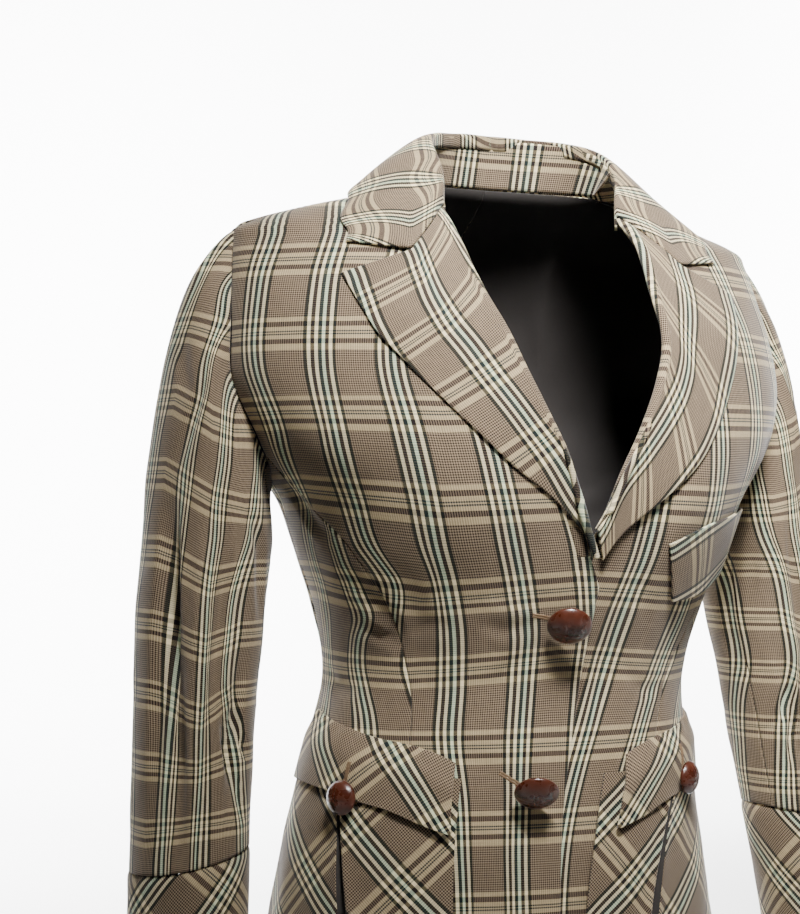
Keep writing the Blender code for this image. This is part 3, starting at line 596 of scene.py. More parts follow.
STRIPES_SIDE = (
    ("height", "a", "b"),
    (-0.5900, 0.130, 0.177),
    (-0.4500, 0.122, 0.169),
    (-0.3570, 0.127, 0.175),
    (-0.3420, 0.1345, 0.177),
    (-0.3260, 0.1419, 0.1785),
    (-0.3080, 0.1437, 0.1815),
    (-0.2950, 0.1410, 0.1845),
    (-0.2770, 0.1525, 0.1905),
    (-0.2610, 0.1645, 0.2001),
    (-0.2430, 0.1760, 0.2076),
    (-0.2270, 0.1840, 0.2120),
    (-0.1880, 0.1900, 0.2250),
)

# The same for the weft: the heights of its bands at three distances from the centre front.
BANDS = (
    ("band", "front", "middle", "side"),
    (-11.0, -0.5800, -0.5800, -0.5800),
    (-10.0, -0.5290, -0.5290, -0.5290),
    (-9.0, -0.4780, -0.4780, -0.4790),
    (-8.0, -0.4275, -0.4275, -0.4285),
    (-7.0, -0.3765, -0.3770, -0.3775),
    (-6.0, -0.3220, -0.3300, -0.3290),
    (-5.0, -0.2755, -0.2825, -0.2705),
    (-4.0, -0.2175, -0.2205, -0.2115),
    (-3.0, -0.1600, -0.1630, -0.1620),
    (-2.0, -0.1110, -0.1110, -0.1110),
    (-1.0, -0.0610, -0.0610, -0.0610),
    (0.0, -0.0100, -0.0100, -0.0100),
    (1.0, 0.0410, 0.0410, 0.0410),
)
BAND_PLACES = (0.0, 0.10, 0.20)

# Soft creases, as places (turn, height) along each, with half its width and its depth.
FRONT_CREASES = (
    (((-88.0, -0.205), (-80.0, -0.232), (-71.0, -0.243)), 0.010, -0.0028),
    (((-70.0, -0.262), (-58.0, -0.279), (-50.0, -0.300), (-46.0, -0.325)), 0.009, -0.0022),
    (((-63.0, -0.300), (-56.0, -0.306), (-49.0, -0.309)), 0.006, -0.0020),
    (((-88.0, -0.332), (-78.0, -0.342), (-66.0, -0.344)), 0.008, -0.0016),
    (((-46.0, -0.303), (-38.0, -0.297), (-30.0, -0.300)), 0.009, -0.0010),
    (((-46.0, -0.255), (-42.0, -0.290), (-40.0, -0.330)), 0.012, -0.0014),
    (((-24.0, -0.296), (-15.0, -0.302), (-7.0, -0.297)), 0.007, -0.0012),
    (((-22.0, -0.284), (-14.0, -0.290), (-6.0, -0.292)), 0.006, 0.0009),
    (((-26.0, -0.345), (-16.0, -0.335), (-6.0, -0.310)), 0.009, -0.0009),
    (((-74.0, -0.150), (-76.0, -0.180), (-82.0, -0.205)), 0.012, 0.0016),
    (((-30.0, -0.370), (-18.0, -0.385), (-6.0, -0.400)), 0.009, -0.0010),
    (((5.0, -0.300), (12.0, -0.325), (14.0, -0.365)), 0.009, -0.0014),
    (((14.0, -0.262), (22.0, -0.290), (24.0, -0.325)), 0.010, -0.0012),
    (((20.0, -0.330), (32.0, -0.345), (44.0, -0.340)), 0.008, -0.0014),
    (((88.0, -0.212), (80.0, -0.235), (70.0, -0.248)), 0.010, -0.0026),
    (((64.0, -0.296), (56.0, -0.304), (48.0, -0.302)), 0.007, -0.0018),
    (((86.0, -0.330), (76.0, -0.340), (64.0, -0.338)), 0.008, -0.0016),
)

# How far round each ring of the body a place is from the centre front, in a grid to be read from.
RING_TURNS = np.linspace(-180.0, 180.0, 361)
RING_LOW = -0.60
RING_STEP = 0.005
RING_HEIGHTS = np.linspace(RING_LOW, 0.01, 123)
RINGS = body(RING_TURNS[None, :], RING_HEIGHTS[:, None])
RING_STEPS = np.linalg.norm(np.diff(RINGS, axis=1), axis=-1)
RING_ARCS = np.concatenate([np.zeros((len(RINGS), 1)), np.cumsum(RING_STEPS, axis=1)], axis=1)
RING_ARCS = RING_ARCS - RING_ARCS[:, 180:181]
LAST_TURN = len(RING_TURNS) - 1.001
LAST_HEIGHT = len(RING_HEIGHTS) - 1.001


def around(turn, height):
    """How far a place is from the centre front, round the body at its own height."""
    column_at = np.clip(np.asarray(turn, float) + 180.0, 0.0, LAST_TURN)
    row_at = np.clip((np.asarray(height, float) - RING_LOW) / RING_STEP, 0.0, LAST_HEIGHT)
    near, low = column_at.astype(int), row_at.astype(int)
    right, up = column_at - near, row_at - low
    below = RING_ARCS[low, near] * (1 - right) + RING_ARCS[low, near + 1] * right
    above = RING_ARCS[low + 1, near] * (1 - right) + RING_ARCS[low + 1, near + 1] * right
    return below * (1 - up) + above * up


def on_cloth(at, lines, repeat):
    """The place on the cloth, from where its stripes' middles lie, in rising order."""
    place = 0.5 * repeat + np.minimum(at - lines[0], 0.0) + np.maximum(at - lines[-1], 0.0)
    for low, high in zip(lines, lines[1:]):
        place = place + repeat * np.clip((at - low) / (high - low), 0.0, 1.0)
    return place


def body_places(turn, height, side, stripes):
    """Where each point of a body piece is on the cloth, across and along the warp."""
    out = side * around(turn, height)
    lines = [smooth(stripes, "height", name, height) for name in stripes[0][1:]]
    across = on_cloth(out, lines, WARP_REPEAT)
    bands = [np.interp(out, BAND_PLACES, row[1:]) for row in BANDS[1:]]
    return np.stack([side * across, on_cloth(height, bands, WEFT_REPEAT)], axis=-1)


def crease(across, up, path, half_width, depth):
    """The relief of one soft crease: a trough where depth is negative, fading out at both ends."""
    path = np.array(path)
    lengths = np.linalg.norm(np.diff(path, axis=0), axis=1)
    nearest = np.full(across.shape, np.inf)
    share = np.zeros(across.shape)
    passed = 0.0
    for (start, first), (end, last), length in zip(path, path[1:], lengths):
        along = ((across - start) * (end - start) + (up - first) * (last - first)) / length**2
        along = np.clip(along, 0.0, 1.0)
        gap = np.hypot(across - start - along * (end - start), up - first - along * (last - first))
        share = np.where(gap < nearest, (passed + along * length) / lengths.sum(), share)
        nearest = np.minimum(nearest, gap)
        passed += length
    return depth * bell(nearest / half_width) * np.sin(np.pi * share) ** 0.8


def rumple(across, up, depth):
    """Slow unevenness of worn cloth."""
    waves = (
        np.sin(71 * across + 23 * up + 0.4)
        + np.sin(38 * across - 64 * up + 1.9)
        + 0.6 * np.sin(131 * across + 92 * up + 3.1)
        + 0.4 * np.sin(-173 * across + 148 * up + 5.0)
    )
    return depth * waves / 3.0


EDGE_LINES = np.array([0.0, 0.0007, 0.0019])  # the grid lines that shape a sewn edge
EDGE_BAND = 0.0036  # where the even spacing begins


def steps(length, spacing=SPACING):
    """Shares of a length for a grid's lines, closer together beside both edges."""
    middle = np.linspace(EDGE_BAND, length - EDGE_BAND, max(3, int(length / spacing)))
    return np.concatenate([EDGE_LINES, middle, length - EDGE_LINES[::-1]]) / length


UNDER_ARM = 0.40  # lengths and widths of the body pieces, for the spacing of their lines
OVER_ARM = 0.23
BODY_WIDTH = 0.20
SIDE_FRONT_WIDTH = 0.10


def body_rows():
    """Shares of a body piece's height for its rows, from the hem to the shoulder seam."""
    above = UNDERARM_ROW + (1 - UNDERARM_ROW) * steps(OVER_ARM)[1:]
    return np.concatenate([UNDERARM_ROW * steps(UNDER_ARM), above])


def edge_roll(shares, length, depth=0.0006, reach=0.0035):
    """How far a sewn edge is drawn in, at shares of a length."""
    gap = np.minimum(shares, 1 - shares) * length
    return -depth * (1 - ease(gap / reach)) ** 2


def raised(points, relief, flip):
    """Points moved out along the surface's own normal."""
    normal = np.cross(np.gradient(points, axis=1), np.gradient(points, axis=0))
    length = np.maximum(np.linalg.norm(normal, axis=-1, keepdims=True), 1e-12)
    return points + normal / length * relief[..., None] * (-1.0 if flip else 1.0)


def plain_finish(name, colour, roughness, fine):
    """A plain cloth or thread: one colour, uneven in a fine weave."""
    finish, shader = finish_of(name)
    nodes = Nodes(finish)
    where = nodes.add("ShaderNodeTexCoord").outputs["Object"]
    grain = nodes.noise(where, fine, 3.0)
    shaded = nodes.shaded((*colour, 1.0), nodes.math("MULTIPLY_ADD", grain, 0.5, 0.75))
    nodes.link(shaded, shader.inputs["Base Color"])
    nodes.emboss(shader, grain, 0.2, 0.0002)
    shader.inputs["Roughness"].default_value = roughness
    return finish


# The jacket's dark lining. The same material also stands as painted shade in the gaps of the pockets' pleats.
LINING_AND_PLEAT_SHADE_COLOUR = (0.010, 0.007, 0.0055)
LINING_AND_PLEAT_SHADE = plain_finish("lining_and_pleat_shade", LINING_AND_PLEAT_SHADE_COLOUR, 0.85, 900.0)


def cloth(name, points, places, wall, flip, inner=None, painted_shade=None):
    """A grid of points made into a closed cloth wall, with its place on the cloth as a UV map."""
    rows, columns = points.shape[:2]
    faces = grid_faces(rows, columns)
    if flip:
        faces = faces[:, ::-1]
    piece = mesh_object(name, points.reshape(-1, 3), faces, SUITING)
    mesh = piece.data
    layer = mesh.uv_layers.new(name="cloth")
    layer.data.foreach_set("uv", places.reshape(-1, 2)[faces.ravel()].ravel().astype(np.float32))
    mesh.materials.append(inner or SUITING)
    if painted_shade is not None:
        # The marked faces take the dark lining as painted shade, where the cloth lies deep in shadow.
        mesh.materials.append(LINING_AND_PLEAT_SHADE)
        for face, in_painted_shade in zip(mesh.polygons, painted_shade.ravel()):
            face.material_index = 2 if in_painted_shade else 0
    solid = piece.modifiers.new("wall", "SOLIDIFY")
    solid.thickness = wall
    solid.offset = -1.0
    if inner:
        solid.material_offset = 1
    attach(piece, "root")
    return piece


def declare(piece, points, held, rests_on, *nodes):
    """Hide the imported solids that a piece stands for."""
    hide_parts(*nodes)


def body_relief(turn, height, side):
    """Creases and unevenness of the body's cloth."""
    across = around(turn, height)
    relief = rumple(across, height, FRONT_RUMPLE)
    for path, half_width, depth in FRONT_CREASES:
        if np.sign(path[0][0]) != side:
            continue
        line = [(float(around(a, h)), h) for a, h in path]
        relief = relief + crease(across, height, line, half_width, depth)
    return relief


def front(place, side, roll, stripes):
    """A front, from the hem to the shoulder seam and from its edge or fold to the panel seam."""
    tall = body_rows()
    across = steps(BODY_WIDTH)
    side_turn, side_height = front_side(tall)
    side_turn = side_turn - SEAM_TURN
    front_height = smooth(FRONT_ROWS, "row", "front", tall)
    dip = np.clip((HEM + FRONT_CORNER - front_height) / FRONT_CORNER, 0.0, 1.0)
    edge = -FRONT_EXTENSION + FRONT_CORNER * (1 - np.sqrt(1 - dip**2))
    tuck = FOLD_TUCK * ease((front_height - BREAK) / 0.03)
    fold = smooth(roll, "height", "aside", front_height) + tuck
    aside = np.where(front_height > BREAK, fold, edge)
    front_turn = turn_at(aside, front_height)
    turn = front_turn[:, None] + (side_turn - front_turn)[:, None] * across
    height = front_height[:, None] + (side_height - front_height)[:, None] * across
    reach = ease((tall - 0.86) / 0.14)[:, None]
    turn = side * (turn + (90.0 - SHOULDER_TURN - turn[-1]) * reach)
    lift = body_relief(turn, height, side)
    lift = lift + edge_roll(across, BODY_WIDTH)
    if place == "left":
        sunk = (WALL + SOLID_MORE + UNDERLAP) * (1 - ease((turn - UNDERLAP_TURN) / 10.0))
        lift = lift * ease((turn - 4.0) / 12.0) - sunk
    points = on_body(turn, height, lift)
    places = body_places(turn, height, side, stripes)
    piece = cloth("front_%s_cloth" % place, points, places, WALL, side < 0, LINING_AND_PLEAT_SHADE)
    declare(piece, points, "hung", [], "front_" + place)


def side_front(place, side):
    """A side front, from the panel seam to the side seam and up to the bottom of the armhole."""
    tall = UNDERARM_ROW * steps(UNDER_ARM)
    across = steps(SIDE_FRONT_WIDTH)
    seam_turn, seam_height = front_side(tall)
    seam_turn = seam_turn + SEAM_TURN
    side_height = smooth(SIDE_FRONT_ROWS, "row", "side", tall)
    turn = seam_turn[:, None] + (SIDE_SEAM - SEAM_TURN - seam_turn)[:, None] * across
    height = seam_height[:, None] + (side_height - seam_height)[:, None] * across
    about_arm = PANEL_ARM + (180.0 - PANEL_ARM) * across
    top_turn = smooth(ARMHOLE, "about_arm", "turn", about_arm) + SEAM_TURN * (1 - 2 * across)
    top_height = smooth(ARMHOLE, "about_arm", "height", about_arm)
    reach = ease((tall / UNDERARM_ROW - 0.75) / 0.25)[:, None]
    turn = side * (turn + (top_turn - turn[-1]) * reach)
    height = height + (top_height - height[-1]) * reach
    lift = body_relief(turn, height, side) + edge_roll(across, SIDE_FRONT_WIDTH)
    points = on_body(turn, height, lift)
    places = body_places(turn, height, side, STRIPES_SIDE)
    piece = cloth("side_front_%s_cloth" % place, points, places, WALL, side < 0, LINING_AND_PLEAT_SHADE)
    declare(piece, points, "hung", [], "side_front_" + place)


front("right", -1.0, ROLL_RIGHT, STRIPES_RIGHT)
front("left", 1.0, ROLL_LEFT, STRIPES_LEFT)
for place, side in SIDES.items():
    side_front(place, side)


# --- Backs ----------------------------------------------------------------------------------------
# Two backs, seamed down the middle and shaped in at the waist, with the plaid mirrored at that seam.
# Each is sewn to its side front and, along the shoulder, to its front.
NECK_BACK = 0.006

# The backs' rows, in the same way as the fronts': centre is the height at the centre back seam.
BACK_ROWS = (
    ("row", "side", "about_arm", "centre"),
    (0.00, HEM, 180.0, HEM),
    (0.10, -0.540, 180.0, -0.540),
    (0.40, -0.350, 180.0, -0.350),
    (0.66, UNDERARM, 180.0, -0.185),
    (0.82, -0.130, 262.0, -0.100),
    (1.00, SHOULDER_TIP, 360.0, NECK_BACK),
)
NECK_SHARE = 0.25  # of a back's top edge, which is neckline before it is shoulder seam
SHOULDER_CROWN = 0.22  # rounds each back forward over the shoulder
HALF_CENTRE_SEAM = 0.02  # half of the centre back seam's gap, as a turn
BACK_SPACING = 0.0034
BACK_RUMPLE = 0.0008

# Creases, as places (distance from the centre back, height), with half the width and the depth.
BACK_CREASES = (
    (((0.150, -0.190), (0.120, -0.215), (0.085, -0.225)), 0.011, -0.0026),
    (((0.030, -0.330), (0.070, -0.318), (0.120, -0.322)), 0.010, -0.0022),
    (((0.020, -0.355), (0.060, -0.348), (0.105, -0.352)), 0.009, -0.0018),
    (((0.140, -0.100), (0.128, -0.140), (0.130, -0.180)), 0.012, -0.0020),
    (((0.060, -0.380), (0.085, -0.440), (0.095, -0.520)), 0.016, -0.0018),
)


def between(low, high, first, last, up):
    """A smooth grid of points inside four edges: rows low and high, columns first and last.

    Each row leaves the first column straight sideways and reaches the last one end on.
    """
    quarter = np.radians(90.0) * np.linspace(0.0, 1.0, len(low))
    share = np.stack([np.sin(quarter), 1 - np.cos(quarter), 1 - np.cos(quarter)], axis=-1)
    low_sag = low - low[0] - (low[-1] - low[0]) * share
    high_sag = high - high[0] - (high[-1] - high[0]) * share
    columns = first[:, None] + (last - first)[:, None] * share
    climbed = ease(up)[:, None, None]
    return columns + low_sag * (1 - climbed) + high_sag * climbed


def back_side(up):
    """A back's edge along the side seam and then the armhole, as turns and heights."""
    about_arm = smooth(BACK_ROWS, "row", "about_arm", up)
    on_armhole = up > UNDERARM_ROW + 1e-6
    turn = np.where(on_armhole, smooth(ARMHOLE, "about_arm", "turn", about_arm), SIDE_SEAM)
    above = smooth(ARMHOLE, "about_arm", "height", about_arm)
    below = np.minimum(smooth(BACK_ROWS, "row", "side", up), UNDERARM)
    return turn, np.where(on_armhole, above, below)


def back(place, side):
    """A back, from the centre back seam to the side seam, armhole and shoulder seam."""
    tall = body_rows()
    across = steps(BODY_WIDTH, BACK_SPACING)
    side_turn, side_height = back_side(tall)
    side_turn = side_turn + SEAM_TURN
    side_turn[-1] = 90.0 + SHOULDER_TURN
    centre_turn = np.full(len(tall), 180.0 - HALF_CENTRE_SEAM)
    centre_height = smooth(BACK_ROWS, "row", "centre", tall)
    turn = centre_turn[:, None] + (side_turn - centre_turn)[:, None] * across
    height = centre_height[:, None] + (side_height - centre_height)[:, None] * across
    points = body(side * turn, height)
    on_neck = np.clip(across / NECK_SHARE, 0.0, 1.0)
    spread = np.sin(np.radians(90.0) * across)
    neck_spread = math.sin(math.radians(90.0) * NECK_SHARE)
    on_shoulder = np.clip((spread - neck_spread) / (1 - neck_spread), 0.0, 1.0)
    top_turn = centre_turn[-1] + (90.0 + SHOULDER_TURN - centre_turn[-1]) * on_neck
    top_height = NECK_BACK * (1 - on_neck**2) + SHOULDER_TIP * on_shoulder
    upper = np.flatnonzero(tall >= UNDERARM_ROW)
    share = (tall[upper] - UNDERARM_ROW) / (1 - UNDERARM_ROW)
    top = body(side * top_turn, top_height)
    points[upper] = between(points[upper[0]], top, points[upper, 0], points[upper, -1], share)
    crown = SHOULDER_CROWN * share**6 * (1 - share)
    points[upper, :, 2] += crown[:, None] * ease((across - 0.12) / 0.25) * ease((1 - across) / 0.25)
    out = np.linalg.norm(np.diff(points, axis=1), axis=-1)
    out = np.concatenate([np.zeros((len(points), 1)), np.cumsum(out, axis=1)], axis=1)
    high = points[..., 2]
    relief = rumple(side * out, high, BACK_RUMPLE) + edge_roll(across, BODY_WIDTH)
    for path, half_width, depth in BACK_CREASES:
        relief = relief + crease(out, high, path, half_width, depth)
    relief = relief * ease((1 - tall) / 0.05)[:, None]
    points = raised(points, relief, side > 0)
    first = upper[0]
    climb = np.linalg.norm(np.diff(points[first:], axis=0), axis=-1)
    bands = [np.full_like(high[: first + 1], row[3]) for row in BANDS[1:]]
    low_places = on_cloth(high[: first + 1], bands, WEFT_REPEAT)
    along = np.concatenate([low_places, low_places[-1] + np.cumsum(climb, axis=0)])
    places = np.stack([side * out, along], axis=-1)
    piece = cloth("back_%s_cloth" % place, points, places, WALL, side > 0, LINING_AND_PLEAT_SHADE)
    declare(piece, points, "hung", [], "back_" + place)


for place, side in SIDES.items():
    back(place, side)


# --- Sleeves --------------------------------------------------------------------------------------
# Two-piece sleeves set into the armholes without pads: a top sleeve and a narrower under sleeve.
# They hang in long folds, and each ends in a deep cuff cut on the bias and sewn up at the back.

# The direction in which a sleeve leaves the armhole seam: out sideways, forward and down.
SLEEVE_START = (
    ("about_arm", "out", "forward", "down"),
    (0.0, 0.90, 0.00, 0.44),
    (45.0, 0.78, 0.38, 0.50),
    (90.0, 0.72, 0.52, 0.46),
    (135.0, 0.40, 0.48, 0.78),
    (180.0, 0.28, 0.00, 0.96),
    (225.0, 0.45, -0.42, 0.78),
    (270.0, 0.72, -0.50, 0.48),
    (315.0, 0.85, -0.34, 0.40),
    (360.0, 0.90, 0.00, 0.44),
)

# The sleeve below the underarm: its middle, and half its width sideways and front to back.
SLEEVE = (
    ("height", "out", "back", "half_width", "half_depth"),
    (-0.565, 0.2405, -0.030, 0.0385, 0.0410),
    (-0.500, 0.2365, -0.018, 0.0380, 0.0415),
    (-0.450, 0.2325, -0.007, 0.0380, 0.0430),
    (-0.400, 0.2280, 0.003, 0.0385, 0.0450),
    (-0.350, 0.2235, 0.012, 0.0400, 0.0475),
    (-0.300, 0.2180, 0.019, 0.0420, 0.0500),
    (-0.250, 0.2120, 0.024, 0.0425, 0.0520),
)
SLEEVE_TOP_RING = -0.250
CUFF_SEAM = -0.448
CUFF_END = -0.560
FRONT_ARM_SEAM = 150.0  # about the arm
BACK_ARM_SEAM = 262.0
ARM_GAP = 0.3  # half of a seam's gap, about the arm
CUFF_GAP = 0.4
CUFF_DROP = 0.008  # how much lower the cuff's seam is on the outer side, and higher on the inner
CUFF_TALL = 0.11
CUFF_RISE = 0.0007  # how far a cuff stands out past its sleeve
SLEEVE_TUCK = 0.0010  # how far a sleeve's head goes in under the armhole's edge
SLEEVE_SPACING = 0.0025
SLEEVE_RUMPLE = 0.0008
CUFF_RUMPLE = 0.0009
HEAD_LINES = (0.0, 0.004, 0.010)  # shares of the sleeve's head for the lines beside its seam

# Creases that run down a sleeve: a trough is negative. half_width is about the arm.
SLEEVE_FOLDS = (
    ("about_arm", "half_width", "top", "bottom", "height"),
    (36.0, 13.0, -0.190, -0.450, -0.0075),
    (70.0, 14.0, -0.220, -0.470, 0.0030),
    (112.0, 12.0, -0.300, -0.440, -0.0050),
    (300.0, 18.0, -0.230, -0.430, -0.0045),
    (215.0, 16.0, -0.240, -0.400, -0.0035),
)

ARM_RADIUS = 0.0425  # for lengths round the arm

# Where round the arm the middles of the warp's groups of stripes are at each height, and the heights
# of the weft's bands at three places round it.
SLEEVE_STRIPES = (
    ("height", "a", "b", "c", "d"),
    (-0.5700, -8.0, 48.0, 80.0, 132.0),
    (-0.4300, -8.0, 48.0, 79.0, 132.0),
    (-0.3950, -8.0, 47.5, 79.5, 123.0),
    (-0.3700, -9.0, 47.0, 78.5, 116.0),
    (-0.3370, -10.0, 44.5, 78.5, 99.0),
    (-0.3040, -10.0, 43.5, 78.0, 98.0),
    (-0.2710, -8.0, 44.0, 77.0, 100.0),
    (-0.2450, -4.0, 45.0, 78.0, 109.0),
    (-0.2135, 2.0, 47.0, 81.0, 125.0),
    (-0.1900, 5.0, 48.5, 90.0, 141.0),
    (-0.1680, 6.0, 53.0, 98.0, 142.0),
    (-0.1500, 6.0, 60.0, 101.0, 143.0),
    (-0.1280, 5.0, 60.0, 101.0, 142.0),
    (-0.1040, 12.0, 61.0, 99.0, 138.0),
    (-0.0750, 13.0, 42.0, 84.0, 126.0),
    (-0.0390, 1.0, 36.0, 80.0, 122.0),
)
STRIPE_TURN = 58.0  # one repeat, round the arm
SLEEVE_BANDS = (
    ("band", "outer", "middle", "inner"),
    (-11.0, -0.5700, -0.5700, -0.5700),
    (-10.0, -0.5200, -0.5180, -0.5160),
    (-9.0, -0.4700, -0.4650, -0.4620),
    (-8.0, -0.4290, -0.4230, -0.4220),
    (-7.0, -0.3880, -0.3890, -0.3830),
    (-6.0, -0.3420, -0.3560, -0.3420),
    (-5.0, -0.2980, -0.3120, -0.3040),
    (-4.0, -0.2510, -0.2710, -0.2650),
    (-3.0, -0.1994, -0.2195, -0.2241),
    (-2.0, -0.1519, -0.1680, -0.1730),
    (-1.0, -0.1045, -0.1130, -0.1190),
    (0.0, -0.0560, -0.0600, -0.0640),
    (1.0, -0.0060, -0.0100, -0.0140),
)
SLEEVE_PLACES = (25.0, 76.0, 108.0)

# Creases, as places (about the arm, height), with half the width and the depth.
SLEEVE_CREASES = (
    (((30.0, -0.215), (38.0, -0.262), (46.0, -0.310), (54.0, -0.370), (62.0, -0.452)), 0.0105, -0.0085),
    (((62.0, -0.190), (68.0, -0.260), (74.0, -0.340), (82.0, -0.440)), 0.0085, 0.0026),
    (((86.0, -0.215), (88.0, -0.270), (88.0, -0.330), (90.0, -0.360)), 0.0060, -0.0042),
    (((92.0, -0.330), (104.0, -0.370), (122.0, -0.405), (132.0, -0.425)), 0.0065, -0.0046),
    (((110.0, -0.350), (122.0, -0.372), (140.0, -0.385)), 0.0060, -0.0036),
    (((112.0, -0.225), (124.0, -0.250), (138.0, -0.300)), 0.0080, -0.0034),
    (((18.0, -0.110), (30.0, -0.135), (44.0, -0.150)), 0.0085, -0.0024),
    (((60.0, -0.120), (56.0, -0.145), (46.0, -0.170), (36.0, -0.200)), 0.0085, -0.0030),
    (((76.0, -0.130), (66.0, -0.160), (58.0, -0.195)), 0.0080, 0.0020),
    (((150.0, -0.250), (160.0, -0.300), (158.0, -0.350)), 0.0090, -0.0034),
    (((200.0, -0.250), (214.0, -0.290), (222.0, -0.340)), 0.0090, -0.0036),
    (((-60.0, -0.180), (-50.0, -0.230), (-54.0, -0.300)), 0.0100, -0.0034),
    (((-30.0, -0.300), (-22.0, -0.350), (-26.0, -0.420)), 0.0090, -0.0026),
    (((-84.0, -0.260), (-70.0, -0.310), (-66.0, -0.380)), 0.0090, -0.0034),
)


def sleeve_ring(side, about_arm, height):
    """A point of the sleeve below the underarm."""
    out = smooth(SLEEVE, "height", "out", height)
    rearward = smooth(SLEEVE, "height", "back", height)
    wide = smooth(SLEEVE, "height", "half_width", height)
    deep = smooth(SLEEVE, "height", "half_depth", height)
    fold = np.zeros_like(height)
    for centre, half, top, bottom, rise in SLEEVE_FOLDS[1:]:
        across = (about_arm - centre + 180.0) % 360.0 - 180.0
        up = (height - (top + bottom) / 2) / (top - bottom) * 2
        fold = fold + rise * bell(across / half) * bell(up)
    angle = np.radians(about_arm)
    x = out + (wide + fold) * np.cos(angle)
    y = rearward - (deep + fold) * np.sin(angle)
    return np.stack([side * x, y, height], axis=-1)


def sleeve_head(side, about_arm, share):
    """A point of the sleeve between the armhole (0) and its top ring (1)."""
    seam_turn = smooth(ARMHOLE, "about_arm", "turn", about_arm)
    seam_height = smooth(ARMHOLE, "about_arm", "height", about_arm)
    start = body(side * seam_turn, seam_height)
    leave = np.stack(
        [
            side * smooth(SLEEVE_START, "about_arm", "out", about_arm),
            -smooth(SLEEVE_START, "about_arm", "forward", about_arm),
            -smooth(SLEEVE_START, "about_arm", "down", about_arm),
        ],
        axis=-1,
    )
    leave = leave / np.linalg.norm(leave, axis=-1, keepdims=True)
    start = start - leave * SLEEVE_TUCK
    ring = np.full_like(about_arm, SLEEVE_TOP_RING)
    end = sleeve_ring(side, about_arm, ring)
    fall = sleeve_ring(side, about_arm, ring - 0.01) - end
    fall = fall / np.linalg.norm(fall, axis=-1, keepdims=True)
    length = np.linalg.norm(end - start, axis=-1, keepdims=True)
    t = share[..., None]
    first = 2 * t**3 - 3 * t**2 + 1
    return (
        first * start
        + (t**3 - 2 * t**2 + t) * leave * length * 0.75
        + (1 - first) * end
        + (t**3 - t**2) * fall * length * 0.9
    )


def cuff_seam(about_arm):
    """The height of the seam of a cuff, lower on its outer side."""
    return CUFF_SEAM - CUFF_DROP * np.cos(np.radians(about_arm))


def sleeve_places(about, height, side):
    """Where each point of a sleeve is on the cloth."""
    middle = [smooth(SLEEVE_STRIPES, "height", name, height) for name in SLEEVE_STRIPES[0][1:]]
    before = [middle[0] - STRIPE_TURN * count for count in (3, 2, 1)]
    after = [middle[-1] + STRIPE_TURN * count for count in (1, 2, 3)]
    across = on_cloth(about, before + middle + after, WARP_REPEAT)
    bands = [np.interp(about, SLEEVE_PLACES, row[1:]) for row in SLEEVE_BANDS[1:]]
    return np.stack([side * across, on_cloth(height, bands, WEFT_REPEAT)], axis=-1)


def sleeve(name, side, first, last):
    """One of a sleeve's two pieces, between two places about the arm."""
    width = math.radians(last - first) * ARM_RADIUS * 1.15
    about = first + (last - first) * steps(width, SLEEVE_SPACING)
    head = np.concatenate([HEAD_LINES, np.linspace(0.02, 1.0, 60)])[:-1]
    below = np.linspace(0.0, 1.0, 76)
    turn, share = np.meshgrid(about, head)
    top = sleeve_head(side, turn % 360.0, share)
    low_turn, share = np.meshgrid(about, below)
    bottom = cuff_seam(low_turn) + SEAM_GAP
    lower = sleeve_ring(side, low_turn % 360.0, SLEEVE_TOP_RING + (bottom - SLEEVE_TOP_RING) * share)
    points = np.concatenate([top, lower])
    turn = np.concatenate([turn, low_turn])
    height = points[..., 2]
    across = np.radians(turn) * ARM_RADIUS
    relief = rumple(across, height, SLEEVE_RUMPLE)
    for path, half_width, depth in SLEEVE_CREASES:
        line = [(math.radians(a) * ARM_RADIUS, h) for a, h in path]
        relief = relief + crease(across, height, line, half_width, depth)
    rows = np.arange(len(points))[:, None]
    relief = relief * ease(rows / 12.0) + edge_roll(np.linspace(0, 1, len(about)), 0.2)
    relief = relief * ease((len(points) - 1 - rows) / 10.0) - 0.0005 * (1 - ease(rows / 3.0))
    places = sleeve_places(turn, height, side)
    points = raised(points, relief, side < 0)
    piece = cloth(name + "_cloth", points, places, WALL, side < 0, LINING_AND_PLEAT_SHADE)
    declare(piece, points, "hung", [], name)


def cuff(place, side):
    """The deep band at the end of a sleeve, cut on the bias."""
    length = math.tau * ARM_RADIUS
    about = BACK_ARM_SEAM + CUFF_GAP + (360.0 - 2 * CUFF_GAP) * steps(length)
    turn, share = np.meshgrid(about, steps(CUFF_TALL))
    top = cuff_seam(turn)
    height = top + (CUFF_END - top) * share
    points = sleeve_ring(side, turn, height)
    across = np.radians(turn) * ARM_RADIUS
    relief = rumple(across, height, CUFF_RUMPLE) + CUFF_RISE * ease(share / 0.06)
    relief = relief - 0.0008 * (1 - ease(share / 0.03)) - 0.0006 * ease((share - 0.97) / 0.03)
    points = raised(points, relief, side < 0)
    down = top - height
    places = np.stack([side * (across + down), down - across], axis=-1) * math.sqrt(0.5)
    piece = cloth("cuff_%s_cloth" % place, points, places, FACED, side < 0, LINING_AND_PLEAT_SHADE)
    declare(piece, points, "hung", [], "cuff_" + place)


for place, side in SIDES.items():
    sleeve("sleeve_top_" + place, side, BACK_ARM_SEAM - 360.0 + ARM_GAP, FRONT_ARM_SEAM - ARM_GAP)
    sleeve("sleeve_under_" + place, side, FRONT_ARM_SEAM + ARM_GAP, BACK_ARM_SEAM - ARM_GAP)
    cuff(place, side)


